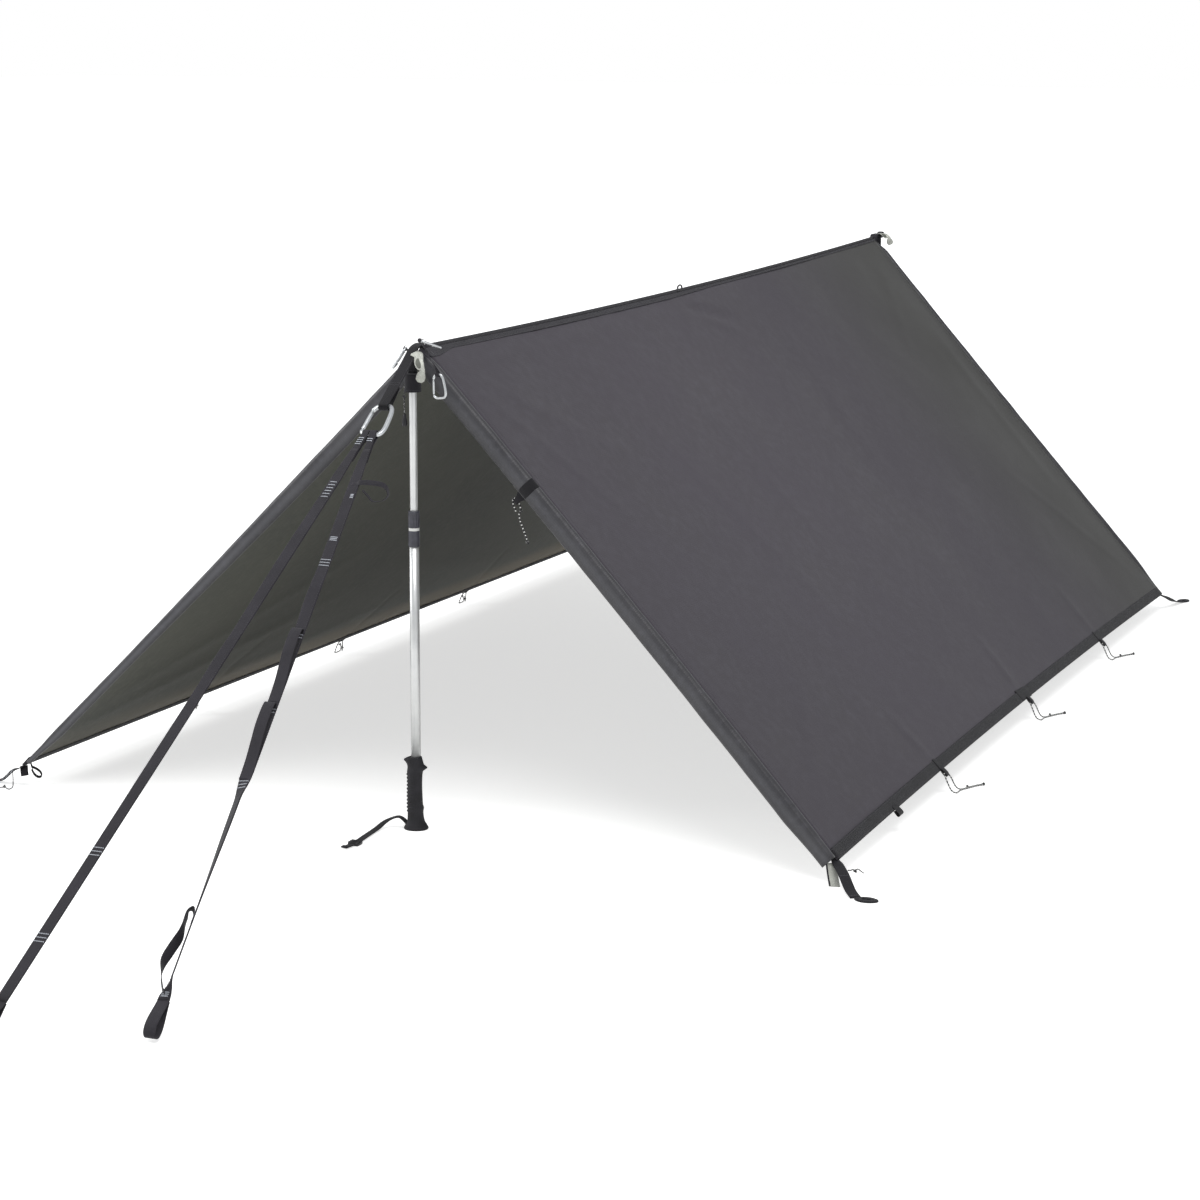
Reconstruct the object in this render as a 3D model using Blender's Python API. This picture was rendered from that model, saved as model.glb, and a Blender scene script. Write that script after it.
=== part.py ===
"""A ridge tarp pitched as an A-frame on two upturned trekking poles.

Metres, +Z up. The origin is on the ground under the middle of the ridge, the ridge runs along Y with the
front peak at -Y, and X runs across. Each moving group hangs from an empty on its joint's axis.
"""
import math

import bmesh
import bpy
from mathutils import Matrix, Vector

# Cloth and pitch
RIDGE_LENGTH = 3.0
FRONT_HEIGHT = 1.0
REAR_HEIGHT = 1.022
RIDGE_SAG = 0.014
CORNER_HEIGHT = 0.045
SPREAD = {("right", "front"): 0.929, ("right", "rear"): 0.906, ("left", "front"): 0.953, ("left", "rear"): 0.922}
FORWARD = {"right": 0.077, "left": 0.062}
CLOTH = 0.0016
BELLY = {"right": 0.010, "left": 0.014}
EDGE_SAG = 0.012
BOTTOM_SAG = {"right": 0.013, "left": 0.003}
GAP = 0.0003
RIDGE_GAP = 0.0036

# Hems and bindings
HEM_DEPTH = 0.020
HEM_REACH = 0.012
HEM_AHEAD = 0.0095
HEM_DROP = 0.014
HEM_START = 0.032
HEM_END = 0.985
BINDING_WIDTH = 0.026
WEB_THICK = 0.0012
RIDGE_BINDING_END = 0.024
RIDGE_BINDING_FRONT = 0.0125
RIDGE_BINDING_REAR = 0.0065
RIDGE_WEB_THICK = 0.002
RIDGE_WEB_HIGH = 0.012
SLIDER_PLACE = 0.48
TIE_PLACES = (0.25, 0.5, 0.75)
TAB_WIDTH = 0.012
TAB_REACH = 0.0086
TAB_RISE = 0.0035
TAB_CENTRE = 0.0068
TAB_LIFT = 0.0022
LABEL_PLACE = 0.135
EDGE_TIE_PLACE = 0.275
EDGE_TIE_WIDTH = 0.024

# Peaks
POLE_STANDOFF = 0.046
PEAK_WEB_WIDTH = 0.025
PEAK_WEB_THICK = 0.0016
PEAK_RISE = 0.010
PEAK_LOOP_BACK = 0.060
POCKET_BOTTOM = 0.085
POCKET_HIGH = 0.037
POCKET_RADIUS = 0.0172
POCKET_WALL = 0.0022
REAR_TAIL = 0.082

# Guy straps
STRAP_WIDTH = 0.020
STRAP_THICK = 0.0016
STRAP_TOP_WIDTH = 0.0145
STRAP_SPACING = 0.0154
LEFT_PEG = Vector((-0.077, -3.0255, 0.0100))
RIGHT_PEG = Vector((0.1845, -2.918, 0.0100))
STRAP_AIM = Vector((0.0445, -2.9755, 0.0100))
STRAP_END_LOOP = 0.075
STRAP_LOOP_HALF = 0.013
STRAP_TWIST = (0.80, 1.00)
SLACK_WIDTH = 0.010

# Carabiners
MAIN_LENGTH = 0.094
MAIN_WIDTH = 0.056
MAIN_BAR = 0.0046
SMALL_LENGTH = 0.052
SMALL_WIDTH = 0.031
SMALL_BAR = 0.0025
MAIN_TAPER = 0.12
SMALL_TAPER = 0.20

# Poles, from the foot up
THIN_RADIUS = 0.0078
THICK_RADIUS = 0.0100
SLIDE_CLEARANCE = 0.0004
THICK_TOP = 0.6265
THIN_FOOT = 0.30
GRIP_HIGH = 0.155
GRIP_SOCKET = 0.115
BORE_FLOOR = 0.17
COLLAR_RADIUS = 0.0118
LOWER_COLLAR = (0.597, 0.630)
SPACER_TOP = 0.6362
LOCK_COLLAR_HIGH = 0.0340
FLUTES = 12
GRIP_TURN = math.radians(22)
RIB_COUNT = 11

# Cord
CORD_RADIUS = 0.0012

FRONT_END = Vector((0, -RIDGE_LENGTH / 2, FRONT_HEIGHT))
REAR_END = Vector((0, RIDGE_LENGTH / 2, REAR_HEIGHT))
UP = Vector((0, 0, 1))
ACROSS = Vector((1, 0, 0))
SIDE_SIGN = {"right": 1, "left": -1}
COLOURS = {
    "cloth": ((0.085, 0.080, 0.090), 0.80, 0.0),
    "hem": ((0.070, 0.070, 0.080), 0.75, 0.0),
    "webbing": ((0.024, 0.020, 0.026), 0.85, 0.0),
    "reflective": ((0.48, 0.50, 0.46), 0.45, 0.0),
    "metal": ((0.72, 0.73, 0.75), 0.30, 1.0),
    "shaft": ((0.80, 0.80, 0.80), 0.28, 1.0),
    "plastic": ((0.030, 0.030, 0.033), 0.45, 0.0),
    "rubber": ((0.018, 0.018, 0.020), 0.75, 0.0),
    "cord": ((0.10, 0.10, 0.10), 0.80, 0.0),
}


def clear_scene():
    for old in list(bpy.data.objects):
        bpy.data.objects.remove(old, do_unlink=True)


def make_material(name):
    colour, roughness, metallic = COLOURS[name]
    material = bpy.data.materials.new(name)
    material.use_nodes = True
    shader = material.node_tree.nodes["Principled BSDF"]
    shader.inputs["Base Color"].default_value = (*colour, 1)
    shader.inputs["Roughness"].default_value = roughness
    shader.inputs["Metallic"].default_value = metallic
    return material


def make_body(name, place, parent=None):
    """An empty on a moving group's joint axis, under the empty of the group that carries it."""
    empty = bpy.data.objects.new(name, None)
    bpy.context.scene.collection.objects.link(empty)
    carrier = bpy.data.objects.get(parent) if parent else None
    if carrier:
        empty.parent = carrier
    empty.location = Vector(place) - (carrier.matrix_world.translation if carrier else Vector())
    bpy.context.view_layer.update()
    return empty


def add_object(name, data, material, body):
    item = bpy.data.objects.new(name, data)
    bpy.context.scene.collection.objects.link(item)
    data.materials.append(bpy.data.materials[material])
    item.parent = bpy.data.objects[body]
    return item


def add_mesh(name, points, faces, material, body):
    """A closed mesh given in world coordinates, stored about its body's joint axis."""
    origin = bpy.data.objects[body].matrix_world.translation
    build = bmesh.new()
    corners = [build.verts.new(Vector(p) - origin) for p in points]
    for face in faces:
        build.faces.new([corners[i] for i in face])
    bmesh.ops.recalc_face_normals(build, faces=build.faces)
    mesh = bpy.data.meshes.new(name)
    build.to_mesh(mesh)
    build.free()
    mesh.shade_smooth()
    mesh.set_sharp_from_angle(angle=math.radians(40))
    return add_object(name, mesh, material, body)


def loft(name, rings, material, body, closed=False):
    """Joins rings of equally many points. An open run gets end caps, and a closed one joins its ends."""
    count = len(rings[0])
    points = [p for ring in rings for p in ring]
    faces = []
    for i in range(len(rings) if closed else len(rings) - 1):
        near, far = i * count, (i + 1) % len(rings) * count
        for j in range(count):
            k = (j + 1) % count
            faces.append((near + j, near + k, far + k, far + j))
    if not closed:
        faces.append(tuple(range(count))[::-1])
        faces.append(tuple(range(len(points) - count, len(points))))
    return add_mesh(name, points, faces, material, body)


def tangents(points, closed=False):
    last = len(points) - 1
    found = []
    for i in range(len(points)):
        before = points[i - 1] if i or closed else points[0]
        after = points[(i + 1) % len(points)] if i < last or closed else points[last]
        found.append((after - before).normalized())
    return found


def band_rings(points, across, width, thick, closed=False):
    """Rectangular sections along a path. across and width may be one value or one for each point."""
    rings = []
    for i, (point, along) in enumerate(zip(points, tangents(points, closed))):
        side = across[i] if isinstance(across, list) else across
        side = (side - along * side.dot(along)).normalized()
        face = along.cross(side)
        half = (width[i] if isinstance(width, list) else width) / 2
        a, b = side * half, face * thick / 2
        rings.append([point - a - b, point + a - b, point + a + b, point - a + b])
    return rings


def round_rings(points, flat, radius, sides=8, closed=False):
    """Round sections along a path that lies in the plane whose normal is flat."""
    rings = []
    for point, along in zip(points, tangents(points, closed)):
        other = along.cross(flat).normalized()
        turns = [2 * math.pi * k / sides for k in range(sides)]
        rings.append([point + radius * (flat * math.cos(t) + other * math.sin(t)) for t in turns])
    return rings


def turned(name, profile, place, material, body, closed=False, sides=16):
    """A profile of (radius, height) pairs turned about the vertical line through place."""
    rings = []
    for radius, height in profile:
        ring = []
        for k in range(sides):
            turn = 2 * math.pi * k / sides
            ring.append(Vector((place.x + radius * math.cos(turn), place.y + radius * math.sin(turn), height)))
        rings.append(ring)
    return loft(name, rings, material, body, closed)


def combine(item, others, operation="UNION"):
    """Joins helper shapes to an object, or cuts them out of it. The helpers stay hidden."""
    for other in others:
        other.hide_render = True
        other.display_type = "WIRE"
        step = item.modifiers.new(other.name, "BOOLEAN")
        step.operation = operation
        step.object = other
    return item


def smooth_route(points, step):
    """Evenly spaced points on a smooth curve through the given ones."""
    route = [Vector(p) for p in points]
    fine = []
    padded = [2 * route[0] - route[1], *route, 2 * route[-1] - route[-2]]
    for a, b, c, d in zip(padded, padded[1:], padded[2:], padded[3:]):
        for k in range(12):
            t = k / 12
            fine.append(0.5 * (2 * b + t * (c - a) + t * t * (2 * a - 5 * b + 4 * c - d) + t ** 3 * (3 * b - a - 3 * c + d)))
    fine.append(route[-1])
    total = sum((q - p).length for p, q in zip(fine, fine[1:]))
    count = max(2, round(total / step))
    spaced, run, i = [fine[0]], 0.0, 0
    for k in range(1, count):
        target = total * k / count
        while run + (fine[i + 1] - fine[i]).length < target:
            run += (fine[i + 1] - fine[i]).length
            i += 1
        spaced.append(fine[i].lerp(fine[i + 1], (target - run) / (fine[i + 1] - fine[i]).length))
    return [*spaced, fine[-1]]


def add_cord(name, route, body, radius=CORD_RADIUS):
    """A limp cord: a bevelled curve along a smooth route."""
    origin = bpy.data.objects[body].matrix_world.translation
    curve = bpy.data.curves.new(name, "CURVE")
    curve.dimensions = "3D"
    curve.bevel_depth = radius
    curve.bevel_resolution = 2
    curve.use_fill_caps = True
    spaced = smooth_route(route, 5.8 * radius)
    spline = curve.splines.new("POLY")
    spline.points.add(len(spaced) - 1)
    for target, point in zip(spline.points, spaced):
        target.co = (*(point - origin), 1)
    return add_object(name, curve, "cord", body)


# The two slopes

def ridge_point(u):
    point = FRONT_END.lerp(REAR_END, u)
    point.z -= RIDGE_SAG * 4 * u * (1 - u)
    return point


def corner(side, end):
    sign = SIDE_SIGN[side]
    half = -RIDGE_LENGTH / 2 if end == "front" else RIDGE_LENGTH / 2
    return Vector((sign * SPREAD[side, end], half - FORWARD[side], CORNER_HEIGHT))


def slope(side, u, v):
    """A point of the cloth: u runs from the front to the rear, v from the ridge to the bottom edge."""
    top, foot = ridge_point(u), corner(side, "front").lerp(corner(side, "rear"), u)
    down = (foot - top).normalized()
    inward = Vector((-SIDE_SIGN[side], 0, 0))
    inward = (inward - down * inward.dot(down)).normalized()
    length_bow, height_bow = 4 * u * (1 - u), 4 * v * (1 - v)
    point = top.lerp(foot, v) - down * BOTTOM_SAG[side] * length_bow * v * v
    point += inward * BELLY[side] * length_bow * height_bow
    point.y += EDGE_SAG * height_bow * (1 - 2 * u)
    return point


def outward(side, u, v):
    """The normal on the weather side."""
    step = 0.002
    along = slope(side, min(u + step, 1), v) - slope(side, max(u - step, 0), v)
    down = slope(side, u, min(v + step, 1)) - slope(side, u, max(v - step, 0))
    return along.cross(down).normalized() * -SIDE_SIGN[side]


def slope_length(side, u):
    return (slope(side, u, 1) - slope(side, u, 0)).length


def add_panel(side):
    """One slope of cloth: a thin closed sheet with its ridge sag, belly and hollow edges."""
    columns, rows = 16, 8
    start = RIDGE_GAP / slope_length(side, 0.5)
    grid = []
    for i in range(columns + 1):
        for j in range(rows + 1):
            u, v = i / columns, start + (1 - start) * j / rows
            grid.append((slope(side, u, v), outward(side, u, v) * CLOTH / 2))
    points = [p + n for p, n in grid] + [p - n for p, n in grid]
    under, stride = len(grid), rows + 1
    faces, rim = [], []
    for i in range(columns):
        for j in range(rows):
            a, b, c, d = i * stride + j, i * stride + j + 1, (i + 1) * stride + j + 1, (i + 1) * stride + j
            faces += [(a, b, c, d), (a + under, d + under, c + under, b + under)]
    rim += [(j, j + 1) for j in range(rows)]
    rim += [(i * stride + rows, (i + 1) * stride + rows) for i in range(columns)]
    rim += [(columns * stride + j + 1, columns * stride + j) for j in reversed(range(rows))]
    rim += [((i + 1) * stride, i * stride) for i in reversed(range(columns))]
    faces += [(b, a, a + under, b + under) for a, b in rim]
    add_mesh(f"{side}_panel", points, faces, "cloth", f"{side}_slope")


def hem_section(side, end, v):
    """The centre of the curled hem beyond the cloth's edge, and its two half axes."""
    u, sign = (0, -1) if end == "front" else (1, 1)
    forward = Vector((0, sign, 0))
    inside = -outward(side, u, v)
    forward = (forward - inside * forward.dot(inside)).normalized()
    centre = slope(side, u, v) + forward * HEM_AHEAD + inside * HEM_DROP
    return centre, forward * HEM_REACH, inside * HEM_DEPTH


def add_hem(side, end):
    """The edge's hem, turned under into a flattened roll."""
    runs, sides = 14, 12
    rings = []
    for i in range(runs + 1):
        centre, wide, deep = hem_section(side, end, HEM_START + (HEM_END - HEM_START) * i / runs)
        turns = [2 * math.pi * (k + 0.5) / sides for k in range(sides)]
        rings.append([centre + wide * math.cos(t) + deep * math.sin(t) for t in turns])
    return loft(f"{side}_{end}_hem", rings, "hem", f"{side}_slope")


def add_edge_tie_tab():
    """The webbing that wraps the right front hem and carries a cord loop under it."""
    widths = [EDGE_TIE_WIDTH] * 8 + [0.014] + [0.011] * 4
    centre, wide, deep = hem_section("right", "front", EDGE_TIE_PLACE)
    nearby = hem_section("right", "front", EDGE_TIE_PLACE + 0.02)[0]
    across = (nearby - centre).normalized()
    stand = 1 + (WEB_THICK / 2 - GAP / 2) / HEM_REACH
    path = [centre + stand * (wide * math.cos(t) + deep * math.sin(t))
            for t in (math.radians(a) for a in (-100, -75, -50, -25, 0, 25, 50, 75))]
    fall = deep.normalized()
    path += [path[-1] + fall * 0.010, path[-1] + fall * 0.022 - wide.normalized() * 0.002]
    path += [path[-1] - wide.normalized() * 0.006, path[-1] - fall * 0.012 - wide.normalized() * 0.006]
    path += [path[-1] - fall * 0.012]
    return loft("edge_tie_tab", band_rings(path, across, widths, WEB_THICK), "webbing", "right_slope")


def edge_tie_eye():
    """The middle of the front-edge tab's loop, and the direction of the hem there."""
    centre, wide, deep = hem_section("right", "front", EDGE_TIE_PLACE)
    nearby = hem_section("right", "front", EDGE_TIE_PLACE + 0.02)[0]
    across = (nearby - centre).normalized()
    return centre + deep * 0.966 + deep.normalized() * 0.0175 - wide.normalized() * 0.002, across


def binding_lift():
    return CLOTH / 2 + GAP + WEB_THICK / 2


def add_bottom_binding(side):
    """Webbing sewn along the bottom edge on the weather side, with a folded tab at each tie-out."""
    runs = 16
    share = BINDING_WIDTH / 2 / slope_length(side, 0.5)
    path, across = [], []
    for i in range(runs + 1):
        u = i / runs
        path.append(slope(side, u, 1 - share) + outward(side, u, 1 - share) * binding_lift())
        across.append(slope(side, u, 1) - slope(side, u, 1 - share))
    name = f"{side}_bottom_binding"
    strip = loft(name, band_rings(path, across, BINDING_WIDTH, WEB_THICK), "webbing", f"{side}_slope")
    tabs = [add_tie_tab(side, u) for u in TIE_PLACES]
    if side == "right":
        tabs.append(add_label_tab())
    combine(strip, tabs)


def edge_frame(side, u):
    """The bottom edge's outer corner, its direction down the slope, and the weather side's normal."""
    lip = slope(side, u, 1) + outward(side, u, 1) * binding_lift()
    return lip, (slope(side, u, 1) - slope(side, u, 0.98)).normalized(), outward(side, u, 1)


def tie_eye(side, u):
    """Where a tie-out's cord goes through its tab."""
    lip, down, normal = edge_frame(side, u)
    return lip + down * (TAB_CENTRE + TAB_REACH - 0.0030) + normal * TAB_LIFT


def add_tie_tab(side, u):
    """A folded webbing loop standing out of the bottom edge."""
    lip, down, normal = edge_frame(side, u)
    along = (slope(side, u + 0.01, 1) - slope(side, u - 0.01, 1)).normalized()
    path = []
    for k in range(14):
        turn = 2 * math.pi * k / 14
        path.append(lip + down * (TAB_CENTRE + TAB_REACH * math.cos(turn)) + normal * (TAB_LIFT + TAB_RISE * math.sin(turn)))
    return loft(f"{side}_tie_tab_{u}", band_rings(path, along, TAB_WIDTH, 0.0010, True), "webbing", f"{side}_slope", True)


def add_label_tab():
    """The plain folded tab sewn beside the front corner."""
    lip, down, _ = edge_frame("right", LABEL_PLACE)
    along = slope("right", LABEL_PLACE + 0.01, 1) - slope("right", LABEL_PLACE - 0.01, 1)
    path = [lip - down * 0.006, lip + down * 0.006, lip + down * 0.017]
    return loft("label_tab", band_rings(path, along, 0.034, WEB_THICK * 0.8), "webbing", "right_slope")


def add_ridge_binding(side):
    """The folded leg of webbing that covers the cloth's seam on this side of the ridge."""
    path, across, widths = [], [], []
    for u in (0, 0.006, 0.013, 0.022, 0.032, 0.042, *[k / 16 for k in range(1, 17)]):
        width = RIDGE_BINDING_END + (RIDGE_BINDING_FRONT - RIDGE_BINDING_END) * ramp(u, 0.010, 0.042)
        width += (RIDGE_BINDING_REAR - RIDGE_BINDING_FRONT) * ramp(u, 0.42, 0.58)
        v = (RIDGE_GAP + width / 2) / slope_length(side, u)
        path.append(slope(side, u, v) + outward(side, u, v) * binding_lift())
        across.append(slope(side, u, v + 0.01) - slope(side, u, v))
        widths.append(width)
    return loft(f"{side}_ridge_binding", band_rings(path, across, widths, WEB_THICK), "webbing", f"{side}_slope")


def add_ridge_webbing():
    """The load-bearing webbing on edge along the ridge, with its slider loop near the middle."""
    runs = 16
    ends = 0.0006 / RIDGE_LENGTH
    path = [ridge_point(-ends + (1 + 2 * ends) * i / runs) for i in range(runs + 1)]
    web = loft("ridge_webbing", band_rings(path, UP, RIDGE_WEB_HIGH, RIDGE_WEB_THICK), "webbing", "ridge")
    place = ridge_point(SLIDER_PLACE) + UP * (RIDGE_WEB_HIGH / 2 + 0.0020)
    loop = [place + Vector((0, 0.014 * math.cos(t), 0.0062 * math.sin(t)))
            for t in (2 * math.pi * k / 14 for k in range(14))]
    slider = loft("slider_loop", round_rings(loop, ACROSS, 0.0020, 6, True), "plastic", "ridge", True)
    combine(web, [slider])


# Peaks and pockets

def pole_line(end):
    """The pole's vertical axis in front of or behind the ridge's end, at ground level."""
    sign = -1 if end == "front" else 1
    return Vector((0, sign * (RIDGE_LENGTH / 2 + POLE_STANDOFF), 0))


def strap_line(distance):
    """A point on the line from the front peak to the ground between the two pegs."""
    start = FRONT_END + Vector((0, -0.030, 0.005))
    return start + (STRAP_AIM - start).normalized() * distance


def strap_heading():
    return (strap_line(1) - strap_line(0)).normalized()


MAIN_TOP = 0.178


def strap_normal():
    """Up and square to the strap line."""
    heading = strap_heading()
    return (UP - heading * UP.dot(heading)).normalized()


def loop_around(centre, heading, normal, bar, thick):
    """Half a turn of webbing round a bar, from its upper side to its lower side."""
    reach = bar + GAP + thick / 2
    return [centre + (normal * math.cos(t) + heading * math.sin(t)) * reach
            for t in (math.radians(a) for a in range(0, 181, 30))]


def add_front_peak_web():
    """Webbing from the ridge's end over the pole, down round the big carabiner's end and back."""
    heading, normal = strap_heading(), strap_normal()
    widths = [0.012, 0.012, 0.012, 0.016, 0.022]
    start_y = FRONT_END.y - 0.0017
    path = [Vector((0, start_y, FRONT_HEIGHT - 0.024)), Vector((0, start_y, FRONT_HEIGHT - 0.006)),
            Vector((0, start_y - 0.002, FRONT_HEIGHT + 0.003)), Vector((0, start_y - 0.009, FRONT_HEIGHT + PEAK_RISE)),
            strap_line(0.008) + normal * 0.0035]
    bar = strap_line(MAIN_TOP + MAIN_BAR)
    turn = loop_around(bar + heading * 0.0014, heading, normal, MAIN_BAR + 0.0016, PEAK_WEB_THICK)
    path += [strap_line(0.05) + normal * 0.003, strap_line(0.12) + normal * 0.0045, *turn]
    path += [turn[-1] - heading * 0.012 + normal * 0.001, turn[-1] - heading * PEAK_LOOP_BACK + normal * 0.0052]
    widths += [PEAK_WEB_WIDTH] * (len(path) - len(widths) - len(turn) - 3) + [0.022] * (len(turn) + 3)
    loft("front_peak_web", band_rings(path, ACROSS, widths, PEAK_WEB_THICK), "webbing", "ridge")


def add_pocket(end):
    """The cup that takes the pole's tip, hung from the peak web by a short strap."""
    foot, height = pole_line(end), FRONT_HEIGHT if end == "front" else REAR_HEIGHT
    low, top = height - POCKET_BOTTOM, height - POCKET_BOTTOM + POCKET_HIGH
    inner = POCKET_RADIUS - POCKET_WALL
    profile = [(0.0005, top), (POCKET_RADIUS - 0.003, top), (POCKET_RADIUS, top - 0.004),
               (POCKET_RADIUS, low), (inner, low), (inner, top - 0.0045), (0.0005, top - 0.0045)]
    cup = turned(f"{end}_pole_pocket", profile, foot, "webbing", "ridge")
    if end == "front":
        share = (foot.y - 0.001 - strap_line(0).y) / strap_heading().y
        hang = (strap_line(share) + strap_normal() * 0.0026).z
    else:
        hang = height + PEAK_RISE - PEAK_WEB_THICK / 2 - GAP
    strap = [Vector((0, foot.y, top - 0.002)), Vector((0, foot.y, (top + hang) / 2)), Vector((0, foot.y, hang))]
    combine(cup, [loft(f"{end}_pocket_strap", band_rings(strap, ACROSS, 0.020, 0.002), "webbing", "ridge")])


def add_rear_peak_web():
    """The rear peak's webbing: over the pole and out into a small loop."""
    y, height = REAR_END.y + 0.0017, REAR_HEIGHT
    out = REAR_END.y + REAR_TAIL
    path = [Vector((0, y, height - 0.024)), Vector((0, y, height - 0.006)), Vector((0, y + 0.002, height + 0.003)),
            Vector((0, y + 0.009, height + PEAK_RISE)), Vector((0, y + 0.030, height + PEAK_RISE)),
            Vector((0, y + 0.050, height + PEAK_RISE))]
    web = loft("rear_peak_web", band_rings(path, ACROSS, 0.022, PEAK_WEB_THICK), "webbing", "ridge")
    centre = Vector((0, out - 0.012, height + PEAK_RISE - 0.004))
    loop = [centre + Vector((0, 0.021 * math.cos(t), 0.0085 * math.sin(t)))
            for t in (2 * math.pi * k / 16 for k in range(16))]
    ring = loft("rear_loop", band_rings(loop, ACROSS, 0.011, 0.0016, True), "webbing", "ridge", True)
    combine(web, [ring])


def add_peak_tab(end):
    """A folded reflective tab that lies on the peak web and falls over its right edge."""
    if end == "front":
        on_web = strap_line(0.031) + strap_normal() * 0.0056
        route = [on_web + ACROSS * 0.002, on_web + ACROSS * 0.0180, Vector((0.0262, -1.571, 0.9790)),
                 Vector((0.0325, -1.575, 0.9660)), Vector((0.0335, -1.576, 0.9530)), Vector((0.0280, -1.572, 0.9380))]
        start, finish = strap_normal(), Vector((0.38, -0.90, 0.19))
    else:
        top = REAR_HEIGHT + PEAK_RISE + 0.0018
        route = [Vector((0.001, 1.533, top)), Vector((0.0125, 1.533, top)), Vector((0.026, 1.534, top - 0.006)),
                 Vector((0.037, 1.536, top - 0.018)), Vector((0.042, 1.538, top - 0.032))]
        start, finish = UP, Vector((0.80, 0.10, 0.40))
    route = smooth_route(route, 0.006)
    across = []
    for i, along in enumerate(tangents(route)):
        facing = start.lerp(finish, min(1, max(0, i / (len(route) - 1) * 2 - 0.5)))
        across.append(along.cross(facing).normalized())
    loft(f"{end}_peak_tab", band_rings(route, across, 0.019, 0.0012), "reflective", "ridge")


# Carabiners

def ring_point(t, length, width, taper):
    """A point of the pear-shaped ring: 0 is the middle of the foot end, a half turn on is the nose end."""
    power = 2 / 3.2
    a = -math.copysign(abs(math.cos(t)) ** power, math.cos(t))
    b = math.copysign(abs(math.sin(t)) ** power, math.sin(t))
    return a * length / 2, b * width / 2 * (1 + taper * a)



HINGE_TURN = math.radians(-62)
NOSE_TURN = math.radians(-128)


def add_carabiner(name, place, along, across, length, width, bar, taper, body, gate):
    """A bent bar with its gate, a pin-hinged rod that shuts against the nose.

    along points from the foot end, where the gate is hinged, to the nose end; across points at the spine.
    """
    normal = along.cross(across).normalized()
    length_mid, width_mid = length - 2 * bar, width - 2 * bar

    def world(t):
        a, b = ring_point(t, length_mid, width_mid, taper)
        return place + along * a + across * b

    steps = 26
    sweep = 2 * math.pi + NOSE_TURN - HINGE_TURN
    path = [world(HINGE_TURN + sweep * k / steps) for k in range(steps + 1)]
    loft(name, round_rings(path, normal, bar), "metal", body)
    hinge, nose = world(HINGE_TURN), world(NOSE_TURN)
    reach = (nose - hinge).normalized()
    thin = bar * 0.85
    low, high = hinge + reach * (bar * 0.35 + GAP), nose - reach * (bar * 0.42 + GAP)
    make_body(f"{gate}_hinge", hinge, body)
    gate_path = [low, low + reach * thin, high - reach * thin, high]
    rings = round_rings(gate_path, normal, thin)
    for ring, centre in ((rings[0], low), (rings[-1], high)):
        for i, point in enumerate(ring):
            ring[i] = centre.lerp(point, 0.55)
    loft(gate, rings, "metal", f"{gate}_hinge")
    return hinge, normal


def bar_loop(anchor, clip, toward, widths, name, body, first_across):
    """A webbing loop from its anchor points round a small carabiner's hinge-end bar.

    toward is 1 where the webbing comes from outside the ring, and -1 where it comes from inside it.
    """
    along, across = squared(clip[1], clip[2])
    heading, bar_centre, thick = along * toward, foot_bar(clip), 0.0012
    normal = along.cross(across)
    normal = -normal if normal.dot(anchor[-1] - bar_centre) < 0 else normal
    turn = loop_around(bar_centre + heading * 0.0003, heading, normal, SMALL_BAR + 0.0005, thick)
    path = [*anchor, *turn, turn[-1] - heading * 0.004]
    tips = []
    for i in range(len(path)):
        tips.append(first_across.lerp(across, min(1, max(0, (i - 1) / (len(anchor) - 1)))))
    return loft(name, band_rings(path, tips, widths + [widths[-1]] * (len(path) - len(widths)), thick), "webbing", body)


MAIN_PLACE = strap_line(MAIN_TOP + MAIN_LENGTH / 2)
RIDGE_CLIP = (Vector((0.0300, -1.530, 1.0115)), Vector((0.42, 0.84, -0.35)), Vector((0.90, -0.44, -0.08)))
HEM_CLIP = (Vector((-0.0412, -1.5205, 0.9798)), Vector((-0.568, 0, -0.823)), Vector((0.19, -0.97, -0.13)))
HANGING_CLIP = (Vector((0.0605, -1.550, 0.9290)), Vector((0.10, 0, -0.995)), Vector((0.995, 0, 0.10)))


def squared(along, across):
    along = along.normalized()
    return along, (across - along * across.dot(along)).normalized()


def foot_bar(clip):
    """The centre of the bar at a small carabiner's hinge end."""
    return clip[0] - clip[1].normalized() * (SMALL_LENGTH / 2 - SMALL_BAR)


def add_small_carabiner(name, clip, body, gate):
    along, across = squared(clip[1], clip[2])
    add_carabiner(name, clip[0], along, across, SMALL_LENGTH, SMALL_WIDTH, SMALL_BAR, SMALL_TAPER, body, gate)


# Guy straps

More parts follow.
